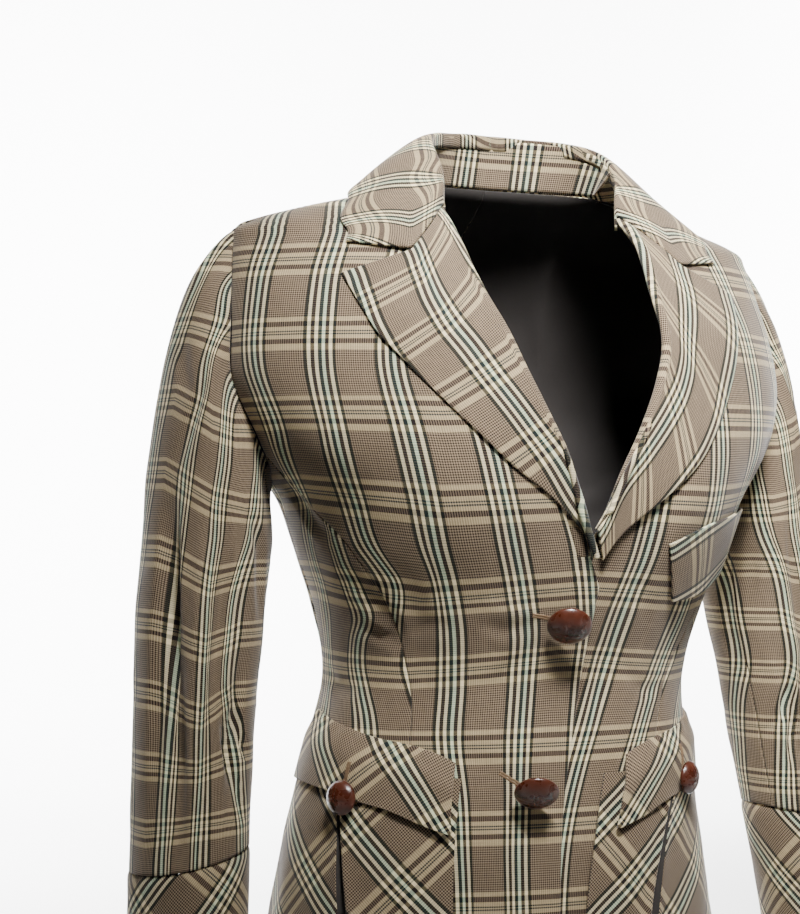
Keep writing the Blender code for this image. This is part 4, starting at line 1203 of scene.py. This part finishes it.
# --- Lapels and collar ----------------------------------------------------------------------------
# Each front turns back along a soft roll as a notched lapel, faced with the same cloth. The collar
# is sewn to the neckline and to the lapels' upper ends: its stand climbs to the fold, and its fall
# turns down over it.
FOLDED = 0.0020  # a faced piece of the solids
ROLL_RADIUS = 0.0038
ROLL_RISE = 0.0030  # how much farther a lapel stands off its front beside the roll
LAPEL_RUMPLE = 0.0006
FACING_BEHIND = 0.0006  # between a front's inner face and the facing behind it

# The lapels' cut edges, from the lower end round to the tip.
EDGE_RIGHT = (
    ("along", "height", "aside"),
    (0.00, -0.2520, -0.0085),
    (0.10, -0.2405, -0.0008),
    (0.20, -0.2186, 0.0228),
    (0.32, -0.1947, 0.0567),
    (0.44, -0.1696, 0.0835),
    (0.56, -0.1480, 0.1040),
    (0.68, -0.1305, 0.1187),
    (0.80, -0.1110, 0.1334),
    (0.90, -0.0938, 0.1400),
    (1.00, -0.0717, 0.1467),
)
EDGE_LEFT = (
    ("along", "height", "aside"),
    (0.00, -0.2560, 0.0160),
    (0.10, -0.2440, 0.0235),
    (0.20, -0.2350, 0.0320),
    (0.32, -0.2200, 0.0510),
    (0.44, -0.2040, 0.0710),
    (0.56, -0.1840, 0.0910),
    (0.68, -0.1590, 0.1090),
    (0.80, -0.1290, 0.1260),
    (0.90, -0.1020, 0.1380),
    (1.00, -0.0740, 0.1467),
)
FOLD_START_RIGHT = -0.2540
FOLD_START_LEFT = -0.2360
GORGE_TOP = (-0.0226, 0.0655)  # height and distance aside, where the gorge seam meets the fold
NOTCH = (-0.0555, 0.1005)  # the inner end of the notch, and of the gorge seam
COLLAR_TIP = (-0.0500, 0.1390)
NOTCH_SHARE = 0.46  # of a front end, which is gorge seam before it is open notch

# The collar from its front end (0) to the centre back (1). fold is the top, where the fall turns
# down over the stand; edge is the fall's cut edge, on the body at that turn and height.
COLLAR = (
    ("along", "fold_x", "fold_y", "fold_z", "edge_turn", "edge_height", "edge_lift"),
    (0.00, 0.0658, -0.0330, -0.0210, 44.7, -0.0500, 0.003),
    (0.14, 0.0670, -0.0270, -0.0020, 44.5, -0.0385, 0.003),
    (0.30, 0.0685, -0.0150, 0.0170, 56.0, -0.0205, 0.004),
    (0.46, 0.0655, 0.0040, 0.0320, 84.0, -0.0115, 0.005),
    (0.64, 0.0515, 0.0270, 0.0410, 118.0, -0.0115, 0.006),
    (0.82, 0.0275, 0.0430, 0.0450, 150.0, -0.0155, 0.006),
    (1.00, 0.0000, 0.0490, 0.0460, 180.0, -0.0170, 0.006),
)
COLLAR_SHIFT = 0.006  # the collar stands this far to the wearer's left
STAND_FRONT = 0.70  # how far forward the stand reaches, as a share of the collar
STAND_TURN = 104.0  # and as a turn from the centre back
STAND_TOP = 0.965  # scale of the stand's top beside the collar's fold
STAND_BASE = 0.985  # and of its base beside the neckline
STAND_BELOW_FOLD = 0.0030
STAND_OVER_SEAM = 0.0012


def front_end(share):
    """The line where a lapel and the collar meet, and then part at the notch: heights, asides."""
    gorge = np.clip(share / NOTCH_SHARE, 0.0, 1.0)
    open_part = np.clip((share - NOTCH_SHARE) / (1 - NOTCH_SHARE), 0.0, 1.0)
    height = GORGE_TOP[0] + (NOTCH[0] - GORGE_TOP[0]) * gorge
    aside = GORGE_TOP[1] + (NOTCH[1] - GORGE_TOP[1]) * gorge
    return height, aside, open_part


def laid_rise(across):
    """How far a lapel's face stands off the front, most beside the fold."""
    return LAID_GAP + FOLDED + ROLL_RISE * (1 - across) ** 1.5


def collar_line(along, name):
    """A column of the collar's table, from one front end (-1) round the back (0) to the other (1)."""
    return smooth(COLLAR, "along", name, 1 - np.abs(along))


def collar_fold(along):
    """The collar's top line."""
    shift = COLLAR_SHIFT * ease((1 - np.abs(along)) / 0.25)
    x = np.sign(along) * collar_line(along, "fold_x") + shift
    return np.stack([x, collar_line(along, "fold_y"), collar_line(along, "fold_z")], axis=-1)


LAPEL_SLANT = math.atan(0.20)  # between the lapel's warp and its roll
LAPEL_LENGTH = 0.25
LAPEL_WIDTH = 0.085
FACING = (0.012, 0.006)  # how far behind the roll the facing's first lines are
LAPEL_STRIPE = (0.053, 0.021)  # from the roll and from the top to the middle of a group of stripes
LAPEL_BAND = 0.017  # from the top to the middle of a band
LAPEL_BAND_SCALE = 0.93  # less than 1 spreads the bands a little


def lapel(place, side, roll, cut_edge, fold_start):
    """A lapel: from the facing behind the fold, round the roll and over the front to its cut edge."""
    along = steps(LAPEL_LENGTH)
    across = steps(LAPEL_WIDTH)
    edge_height = smooth(cut_edge, "along", "height", along)
    edge_aside = smooth(cut_edge, "along", "aside", along)
    fold_height = fold_start + (GORGE_TOP[0] - fold_start) * along
    fold_aside = smooth(roll, "height", "aside", fold_height)
    aside = fold_aside[:, None] + (edge_aside - fold_aside)[:, None] * across
    height = fold_height[:, None] + (edge_height - fold_height)[:, None] * across
    end_height, end_aside, open_part = front_end(across)
    end_height = end_height + (edge_height[-1] - NOTCH[0]) * open_part - SEAM_GAP
    end_aside = end_aside + (edge_aside[-1] - NOTCH[1]) * open_part
    reach = ease((along - 0.6) / 0.4)[:, None]
    height = height + (end_height - height[-1]) * reach
    aside = aside + (end_aside - aside[-1]) * reach
    rise = np.broadcast_to(laid_rise(across), height.shape)
    rise = rise + rumple(aside, height, LAPEL_RUMPLE) + edge_roll(across, LAPEL_WIDTH, 0.0007)
    # The roll and the facing behind it: half a turn of a small circle, then a narrow strip.
    size = ROLL_RADIUS * (0.25 + 0.75 * ease(along / 0.15))[:, None]
    angle = np.radians(np.linspace(-90.0, 80.0, 10))[None, :]
    behind = np.concatenate([FACING + size * 0, size - size * np.cos(angle)], axis=1)
    back_lift = -WALL - FACING_BEHIND
    front_lift = rise[:, :1]
    middle_lift = (front_lift + back_lift) / 2
    curve = middle_lift + (front_lift - back_lift) / 2 * np.sin(angle)
    lifts = np.concatenate([np.full((len(along), 2), back_lift), curve], axis=1)
    shift = size * (1 - ease(across / 0.12))
    aside = np.concatenate([aside[:, :1] + behind, aside + shift], axis=1)
    height = np.concatenate([np.repeat(height[:, :1], behind.shape[1], axis=1), height], axis=1)
    rise = np.concatenate([lifts, rise], axis=1)
    points = on_body(side * turn_at(aside, height), height, rise)
    out = np.linalg.norm(np.diff(points, axis=1), axis=-1)
    out = np.concatenate([np.zeros((len(points), 1)), np.cumsum(out, axis=1)], axis=1)
    out = out - out[:, behind.shape[1] - 5][:, None]
    down = np.linalg.norm(np.diff(points[:, behind.shape[1]], axis=0), axis=-1)
    down = np.concatenate([[0.0], np.cumsum(down)])
    down = (down[-1] - down)[:, None]
    sine, cosine = math.sin(LAPEL_SLANT), math.cos(LAPEL_SLANT)
    warp = (out - LAPEL_STRIPE[0]) * cosine + (down - LAPEL_STRIPE[1]) * sine + WARP_REPEAT / 2
    weft = ((LAPEL_BAND - down) * cosine + out * sine) * LAPEL_BAND_SCALE + WEFT_REPEAT / 2
    places = np.stack([side * warp, weft], axis=-1)
    piece = cloth("lapel_%s_cloth" % place, points, places, FACED, side < 0)
    declare(piece, points, "folded", ["front_%s_cloth" % place], "lapel_" + place)


COLLAR_FALL = 0.062  # from the fold to the cut edge
COLLAR_RUMPLE = 0.0005
COLLAR_FOLD_RADIUS = 0.0024
# Lines of the collar inside its fold: how far it has turned there, and how far down it has gone.
FOLD_INSIDE = ((100.0, 0.008), (100.0, 0.004), (100.0, 0.0), (75.0, 0.0), (50.0, 0.0), (25.0, 0.0))
COLLAR_SLANT = 0.55  # of the stripes near the collar's ends
COLLAR_STRIPE = 0.008  # from an end to the middle of the group of stripes before it
COLLAR_REPEAT = 0.045  # the warp's stripes lie a little closer here
COLLAR_BAND = 0.016  # from the cut edge to the middle of a band


def collar():
    """The fall of the collar, with the fold that it turns over."""
    along = np.linspace(-1.0, 1.0, 171)
    across = steps(COLLAR_FALL)
    side = np.where(along < 0, -1.0, 1.0)
    fold = collar_fold(along)
    edge_turn = side * collar_line(along, "edge_turn")
    edge = on_body(edge_turn, collar_line(along, "edge_height"), collar_line(along, "edge_lift"))
    shoulder = fold + (edge - fold) * np.array([0.25, 0.25, 0.02])
    t = across[:, None, None]
    points = (1 - t) ** 2 * fold + 2 * t * (1 - t) * shoulder + t**2 * edge
    end_height, end_aside, open_part = front_end(across)
    end_height = end_height + (COLLAR_TIP[0] - NOTCH[0]) * open_part + SEAM_GAP
    end_aside = end_aside + (COLLAR_TIP[1] - NOTCH[1]) * open_part
    reach = ease((np.abs(along) - 0.78) / 0.22)
    for column_at, which in ((0, -1.0), (-1, 1.0)):
        end = on_body(which * turn_at(end_aside, end_height), end_height, laid_rise(across))
        shift = end - points[:, column_at]
        own = reach * (side == which)
        points = points + shift[:, None, :] * own[None, :, None]
    # The fold goes on round and a little way down inside.
    outward_way = (points[6] - points[0]) * np.array([1.0, 1.0, 0.0])
    outward_way = outward_way / np.linalg.norm(outward_way, axis=-1, keepdims=True)
    up = np.array([0.0, 0.0, 1.0])
    turned = []
    for angle, drop in FOLD_INSIDE:
        bend = math.radians(angle)
        around_fold = -outward_way * math.sin(bend) + up * (math.cos(bend) - 1.0)
        turned.append(points[0] + around_fold * COLLAR_FOLD_RADIUS - up * drop)
    points = np.concatenate([np.array(turned), points])
    middle = len(turned) + 10
    length = np.linalg.norm(np.diff(points[middle], axis=0), axis=-1)
    length = np.concatenate([[0.0], np.cumsum(length)])
    from_end = np.minimum(length, length[-1] - length)
    down = np.linalg.norm(np.diff(points, axis=0), axis=-1)
    down = np.concatenate([np.zeros((1, len(along))), np.cumsum(down, axis=0)])
    from_edge = down[-1] - down
    slant = COLLAR_SLANT * (1 - ease((from_end - 0.08) / 0.08))
    from_stripe = from_end[None, :] - slant[None, :] * down + COLLAR_STRIPE
    warp = WARP_REPEAT * (0.5 + from_stripe / COLLAR_REPEAT)
    weft = WEFT_REPEAT / 2 + from_edge - COLLAR_BAND
    places = np.stack([side * warp, weft], axis=-1)
    relief = rumple(length[None, :] + 0 * down, down, COLLAR_RUMPLE)
    relief = relief - 0.0006 * (1 - ease(from_edge / 0.003)) ** 2
    points = raised(points, relief, False)
    piece = cloth("collar_cloth", points, places, FACED, False)
    declare(piece, points, "folded", ["collar_stand_cloth"], "collar")


def collar_stand():
    """The stand: it climbs from the neckline seam to the fold, inside the fall."""
    along = np.linspace(-STAND_FRONT, STAND_FRONT, 121)
    top = collar_fold(along) * (STAND_TOP, STAND_TOP, 1.0) - (0.0, 0.0, STAND_BELOW_FOLD)
    round_neck = np.abs(along) / STAND_FRONT
    turn = np.where(along < 0, -1.0, 1.0) * (180.0 - STAND_TURN * round_neck)
    height = NECK_BACK * (1 - np.clip(round_neck * STAND_TURN / 90.0, 0.0, 1.0) ** 2)
    base = body(turn, height) * (STAND_BASE, STAND_BASE, 1.0) + (0.0, 0.0, STAND_OVER_SEAM)
    t = np.linspace(0.0, 1.0, 14)[:, None, None]
    points = base + (top - base) * t
    length = np.linalg.norm(np.diff(base, axis=0), axis=-1)
    length = np.concatenate([[0.0], np.cumsum(length)])[None, :] + 0 * t[..., 0]
    tall = np.linalg.norm(points - base, axis=-1)
    places = np.stack([length, tall], axis=-1)
    piece = cloth("collar_stand_cloth", points, places, WALL, False)
    declare(piece, points, "folded", ["back_right_cloth", "back_left_cloth"], "collar_stand")


lapel("right", -1.0, ROLL_RIGHT, EDGE_RIGHT, FOLD_START_RIGHT)
lapel("left", 1.0, ROLL_LEFT, EDGE_LEFT, FOLD_START_LEFT)
collar()
collar_stand()


# --- Pockets --------------------------------------------------------------------------------------
# Bias-cut patches with an inverted pleat are sewn over the front and side front. A curved flap,
# bias-cut too, is sewn on above each and buttons down over it. The left breast has a slanted flap.

# The flap that hangs over each patch: heights of its top seam and lower edge.
FLAP = (
    ("turn", "top", "bottom"),
    (21.0, -0.3885, -0.4315),
    (30.0, -0.3800, -0.4250),
    (37.0, -0.3760, -0.4190),
    (50.0, -0.3720, -0.4130),
    (68.0, -0.3655, -0.4070),
    (92.0, -0.3580, -0.4045),
)
FLAP_OUTER = 90.0
POCKET_TOP = -0.3960  # under the flap
POCKET_BOTTOM = -0.5450
POCKET_OUTER = 89.0
PLEAT_DEPTH = 0.0030
PATCH_RISE = 0.0032  # how far a patch stands off the front inside its edges
PATCH_BASE = 0.0010  # and how far at its edges
PATCH_RUMPLE = 0.0009
LIP_RISE = 0.0012  # how far the pleat's lips stand up
PATCH_TALL = 0.149
HALF_PATCH = 0.075
PATCH_LIP = 0.35  # how far each lip of the pleat reaches past its fold, as a turn
HIP_RADIUS = 0.13  # turns a length round the hips into a turn
FLAP_WIDE = 0.135
FLAP_TALL = 0.044
FLAP_RISE = 0.0062  # how far its lower edge stands off
FLAP_RUMPLE = 0.0007
PUCKER = 0.0005  # of its top seam
FLAP_SHIFT = 0.0115  # moves the plaid across the flaps
POCKETS = {
    # the flap's inner top and bottom turn, the patch's inner top and bottom turn, and how far aside
    # the pleat is at the top and bottom
    "right": (23.2, 21.0, 20.6, 17.0, 0.1175, 0.1120),
    "left": (24.5, 20.0, 17.0, 8.0, 0.1000, 0.0720),
}
PLEAT_OPEN = 0.0026  # half of the pleat's gap at the patch's lower end

# The breast flap: turns and heights of its seam and of its free edge, from the inner end (0).
BREAST_FLAP_WIDE = 0.105
BREAST_FLAP_TALL = 0.045
BREAST_FLAP_RISE = (0.0006, 0.0014)  # how much it stands off at its seam, and how much more below
BREAST_FLAP_RUMPLE = 0.0005
BREAST_FLAP_SLANT = 10.0  # degrees between its warp and its seam
BREAST_FLAP_SHIFT = 0.020  # moves its plaid
BREAST_FLAP = (
    ("across", "top_turn", "top_height", "bottom_turn", "bottom_height"),
    (0.00, 20.5, -0.2460, 30.0, -0.2840),
    (0.30, 32.0, -0.2340, 42.0, -0.2800),
    (0.65, 50.0, -0.2260, 56.0, -0.2700),
    (1.00, 70.0, -0.2210, 71.0, -0.2620),
)


def bias(across, down, turn, shift):
    """Places on the cloth of a piece whose warp runs at a slant: turn is its angle in degrees."""
    sine, cosine = math.sin(math.radians(turn)), math.cos(math.radians(turn))
    warp = across * cosine + down * sine + shift
    return np.stack([warp, down * cosine - across * sine], axis=-1)


def patch(place, side):
    """A patch pocket laid on the front, with an inverted pleat down its middle."""
    _, _, inner_top, inner_bottom, pleat_top, pleat_bottom = POCKETS[place]
    down = steps(PATCH_TALL)[:, None]
    height = POCKET_TOP + (POCKET_BOTTOM - POCKET_TOP) * down
    inner = inner_top + (inner_bottom - inner_top) * down
    pleat = turn_at(pleat_top + (pleat_bottom - pleat_top) * down, height)
    half_gap = np.degrees(PLEAT_OPEN / HIP_RADIUS) * (0.3 + 0.9 * ease(down * 1.6))
    lip = half_gap + PATCH_LIP
    toward = steps(HALF_PATCH)[None, :]
    near = inner + (pleat - lip - inner) * toward
    far = pleat + lip + (POCKET_OUTER - pleat - lip) * toward
    gap = [pleat - half_gap, pleat - half_gap * 0.9, pleat + half_gap * 0.9, pleat + half_gap]
    turn = np.concatenate([near] + gap + [far], axis=1)
    edge = np.minimum(turn - inner, POCKET_OUTER - turn) / 14.0
    rise = PATCH_RISE * ease(edge) * ease((1.0 - down) / 0.12) * ease(down / 0.12)
    rise = WALL + LAID_GAP + PATCH_BASE + rise
    inside = near.shape[1]
    in_pleat = np.zeros(turn.shape, bool)
    in_pleat[:, inside + 1 : inside + 3] = True
    lips = LIP_RISE * bell((np.abs(turn - pleat) - lip) / 2.2)
    rise = np.where(in_pleat, np.maximum(rise - PLEAT_DEPTH, WALL + LAID_GAP), rise + lips)
    out = side * around(side * turn, np.broadcast_to(height, turn.shape))
    rise = rise + rumple(out * 1.3, height, PATCH_RUMPLE) * ~in_pleat
    points = on_body(side * turn, np.broadcast_to(height, turn.shape), rise)
    from_inner = out - out[:, :1]
    fallen = POCKET_TOP - height + 0 * turn
    places = bias(side * from_inner, fallen, 45.0 * side, 0.0)
    # The faces in the pleat's gap take the dark lining as painted shade. The pleat's underlay is the same cloth,
    # lying in shadow.
    painted_shade = np.zeros((len(points) - 1, turn.shape[1] - 1), bool)
    painted_shade[:, inside : inside + 3] = True
    piece = cloth("pocket_%s_cloth" % place, points, places, WALL, side > 0, None, painted_shade)
    declare(piece, points, "laid", ["front_%s_cloth" % place], "pocket_" + place)


def flap_rise(across, down, out, height):
    """How far a flap stands off the front, away from its sewn edges."""
    stand = FOLDED + LAID_GAP + FLAP_RISE * ease(down / 0.45) * (1 - 0.45 * across**2)
    pucker = PUCKER * np.sin(out * 420.0) * bell((down - 0.08) / 0.16)
    return stand + rumple(out, height, FLAP_RUMPLE) + pucker


def on_flap(turn, height):
    """How far the flap over a place stands off the front there."""
    place = "right" if np.mean(turn) < 0 else "left"
    side, inner = SIDES[place], sum(POCKETS[place][:2]) / 2
    top = smooth(FLAP, "turn", "top", abs(turn))
    down = (top - height) / (top - smooth(FLAP, "turn", "bottom", abs(turn)))
    across = (abs(turn) - inner) / (FLAP_OUTER - inner)
    return flap_rise(across, down, side * around(turn, height), height)


def flap(place, side):
    """A pocket's flap, sewn along its top and buttoned to the patch."""
    inner_top, inner_bottom = POCKETS[place][:2]
    across = steps(FLAP_WIDE)
    down = steps(FLAP_TALL)[:, None]
    inner = inner_top + (inner_bottom - inner_top) * down
    turn = inner + (FLAP_OUTER - inner) * across
    top = smooth(FLAP, "turn", "top", turn)
    height = top + (smooth(FLAP, "turn", "bottom", turn) - top) * down
    out = side * around(side * turn, height)
    rise = flap_rise(across, down, out, height)
    rise = rise - 0.0012 * (1 - ease(down / 0.07)) + edge_roll(across, FLAP_WIDE)
    points = on_body(side * turn, height, rise)
    fallen = top - height
    places = bias(side * (out - out[:, :1]), fallen, 45.0 * side, -FLAP_SHIFT * side)
    piece = cloth("flap_%s_cloth" % place, points, places, FACED, side > 0)
    declare(piece, points, "laid", ["pocket_%s_cloth" % place], "flap_" + place)


def breast_flap():
    """The slanted flap on the left breast."""
    across = steps(BREAST_FLAP_WIDE)
    down = steps(BREAST_FLAP_TALL)[:, None]
    top_turn = smooth(BREAST_FLAP, "across", "top_turn", across)
    top_height = smooth(BREAST_FLAP, "across", "top_height", across)
    bottom_turn = smooth(BREAST_FLAP, "across", "bottom_turn", across)
    bottom_height = smooth(BREAST_FLAP, "across", "bottom_height", across)
    turn = top_turn + (bottom_turn - top_turn) * down
    height = top_height + (bottom_height - top_height) * down
    rise = FOLDED + LAID_GAP + BREAST_FLAP_RISE[0] + BREAST_FLAP_RISE[1] * down
    rise = rise + edge_roll(across, BREAST_FLAP_WIDE)
    points = on_body(turn, height, rise + rumple(across * 0.1, height, BREAST_FLAP_RUMPLE))
    fallen = down * BREAST_FLAP_TALL + 0 * turn
    inward = across * BREAST_FLAP_WIDE + 0 * turn
    places = bias(fallen, inward, BREAST_FLAP_SLANT, BREAST_FLAP_SHIFT)
    piece = cloth("breast_flap_cloth", points, places, FACED, True)
    declare(piece, points, "laid", ["front_left_cloth"], "breast_flap")


for place, side in SIDES.items():
    patch(place, side)
    flap(place, side)
breast_flap()


# --- Buttons --------------------------------------------------------------------------------------
# Four domed buttons covered in thin brown leather, sewn on by a shank that the button hides and that
# isn't made here. Two close the front and one closes each pocket flap.

# A button's section, from the top of its dome round the rim to the middle of its flat back.
BUTTON_DOME = (
    ("share", "out", "up"),
    (0.00, 0.00, 1.00),
    (0.15, 0.25, 0.975),
    (0.35, 0.58, 0.84),
    (0.52, 0.84, 0.60),
    (0.64, 0.97, 0.36),
    (0.74, 1.00, 0.20),
    (0.82, 0.95, 0.06),
    (0.90, 0.80, 0.00),
    (1.00, 0.01, 0.00),
)
BUTTONS = (
    # name, radius, thickness, turn, height, what lies under it, tilt down and aside in degrees
    ("button_front_top", 0.0145, 0.0095, -0.5, -0.2955, 0.0, 24.0, -20.0),
    ("button_front_low", 0.0145, 0.0095, -1.8, -0.4050, 0.0, 55.0, -14.0),
    ("button_pocket_right", 0.0112, 0.0080, -54.5, -0.4115, 0.0089, 8.0, 0.0),
    ("button_pocket_left", 0.0112, 0.0080, 49.0, -0.4055, 0.0089, 8.0, 0.0),
)
BUTTON_SEAM = 0.16  # how far below the middle the seam across a button is, as a share of the radius
SEAM_SINK = 0.075  # how deep its seams are, as a share of the thickness
LEATHER_DARK = (0.022, 0.0045, 0.0016, 1.0)
LEATHER_LIGHT = (0.070, 0.0150, 0.0055, 1.0)
GLAZE = (0.14, 0.3)  # roughness of the smoothest leather, and how much rougher it gets


def leather():
    """Thin brown leather, glazed and blotched, with fine pores."""
    finish, shader = finish_of("brown_leather")
    nodes = Nodes(finish)
    where = nodes.add("ShaderNodeTexCoord").outputs["Object"]
    blotches = nodes.noise(where, 160.0, 4.0)
    pores = nodes.add("ShaderNodeTexVoronoi", feature="DISTANCE_TO_EDGE")
    nodes.link(where, pores.inputs["Vector"])
    pores.inputs["Scale"].default_value = 900.0
    nodes.link(nodes.mix(blotches, LEATHER_DARK, LEATHER_LIGHT), shader.inputs["Base Color"])
    grain = nodes.math("MULTIPLY_ADD", pores.outputs["Distance"], 0.7, blotches)
    nodes.emboss(shader, grain, 0.35, 0.0003)
    nodes.link(nodes.math("MULTIPLY_ADD", blotches, GLAZE[1], GLAZE[0]), shader.inputs["Roughness"])
    return finish


LEATHER = leather()


def button(name, radius, thick, turn, height, under, tilt, aside):
    """One button: a leather dome with a seam across it and another up from that."""
    rings = np.linspace(0.0, 1.0, 29)
    spokes = np.radians(np.arange(0.0, 360.0, 5.0))
    out_rings = [smooth(BUTTON_DOME, "share", "out", share) for share in rings]
    up_rings = [smooth(BUTTON_DOME, "share", "up", share) for share in rings]
    points = []
    for out, up in zip(out_rings, up_rings):
        for spoke in spokes:
            x, y = float(out) * math.cos(spoke), float(out) * math.sin(spoke)
            across = abs(y + BUTTON_SEAM + 0.06 * math.sin(2.4 * x))
            upright = abs(x + 0.10 + 0.10 * y) if y > -BUTTON_SEAM else 1.0
            groove = math.exp(-((across / 0.035) ** 2)) + 0.8 * math.exp(-((upright / 0.030) ** 2))
            top = ease((float(up) - 0.25) / 0.2)
            sink = SEAM_SINK * min(1.0, groove) * top
            points.append((radius * x, radius * y, thick * (float(up) - sink)))
    mesh_grid = np.array(points).reshape(len(rings), len(spokes), 3)
    mesh_grid = np.concatenate([mesh_grid, mesh_grid[:, :1]], axis=1)
    faces = grid_faces(len(rings), len(spokes) + 1)
    piece = mesh_object(name + "_leather", mesh_grid.reshape(-1, 3), faces[:, ::-1], LEATHER)
    welded = bmesh.new()
    welded.from_mesh(piece.data)
    bmesh.ops.remove_doubles(welded, verts=welded.verts, dist=0.000002)
    bmesh.ops.recalc_face_normals(welded, faces=welded.faces)
    welded.to_mesh(piece.data)
    welded.free()
    piece.data.shade_smooth()
    out = Vector(outward(turn, height))
    across = Vector((0.0, 0.0, 1.0)).cross(out).normalized()
    face = Quaternion(across, math.radians(tilt)) @ out
    face = Quaternion((0.0, 0.0, 1.0), math.radians(aside)) @ face
    clear = under + LAID_GAP + radius * math.sin(face.angle(out)) * 0.97
    piece.location = Vector(body(turn, height)) + out * clear
    piece.rotation_euler = face.to_track_quat("Z", "Y").to_euler()
    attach(piece, "root")
    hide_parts(name)


for row in BUTTONS:
    button(*row)


# --- Buttonholes ----------------------------------------------------------------------------------
# Slits worked round in close stitches of tan thread: nearly level on the right front, upright on the
# flaps. Here the stitches stand on uncut cloth, in two rows with a groove between them.
BUTTONHOLES = (
    # name, turn and height of the end at the button, and how far across and up the other end is
    ("front_top", -0.5, -0.2955, -0.0310, 0.0040),
    ("front_low", -1.8, -0.4050, -0.0270, 0.0125),
    ("flap_right", -56.0, -0.4115, -0.0010, 0.0230),
    ("flap_left", 49.0, -0.4055, 0.0010, 0.0230),
)
STITCH = 0.00075  # from one stitch to the next
HOLE_HALF = 0.0015  # half the width of the stitching
THREAD = 0.0007  # how high the stitches stand
THREAD_SUNK = 0.00012  # how far their edges go into the cloth
TAN_THREAD = plain_finish("tan_thread", (0.130, 0.075, 0.034), 0.70, 700.0)


def buttonhole(name, turn, height, across, up, rise_of):
    """Two rows of stitches with a groove between them, from the button to the far end."""
    length = math.hypot(across, up)
    along = np.linspace(0.0, 1.0, int(length / STITCH * 5))[:, None]
    wide = np.linspace(-1.0, 1.0, 13)
    degree = float(around(turn + 1.0, height) - around(turn, height))
    aside = along * across - wide * HOLE_HALF * up / length
    raise_by = along * up + wide * HOLE_HALF * across / length
    turns, heights = turn + aside / degree, height + raise_by
    ends = ease(np.minimum(along, 1 - along) * length / 0.0008)
    rounded = np.sqrt(np.maximum(1.0 - (2 * abs(wide) - 1.0) ** 2, 0.0)) * ends
    ridges = 0.7 + 0.3 * np.cos(2 * math.pi * along * length / STITCH)
    thread = THREAD * rounded * ridges - THREAD_SUNK
    points = on_body(turns, heights, rise_of(turns, heights) + thread)
    faces = grid_faces(len(along), len(wide))
    piece = mesh_object("buttonhole_" + name, points.reshape(-1, 3), faces, TAN_THREAD)
    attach(piece, "root")


def on_right_front(turn, height):
    """How far the right front's creases lift a place."""
    return body_relief(turn, height, -1.0)


for name, *row in BUTTONHOLES:
    buttonhole(name, *row, on_flap if "flap" in name else on_right_front)
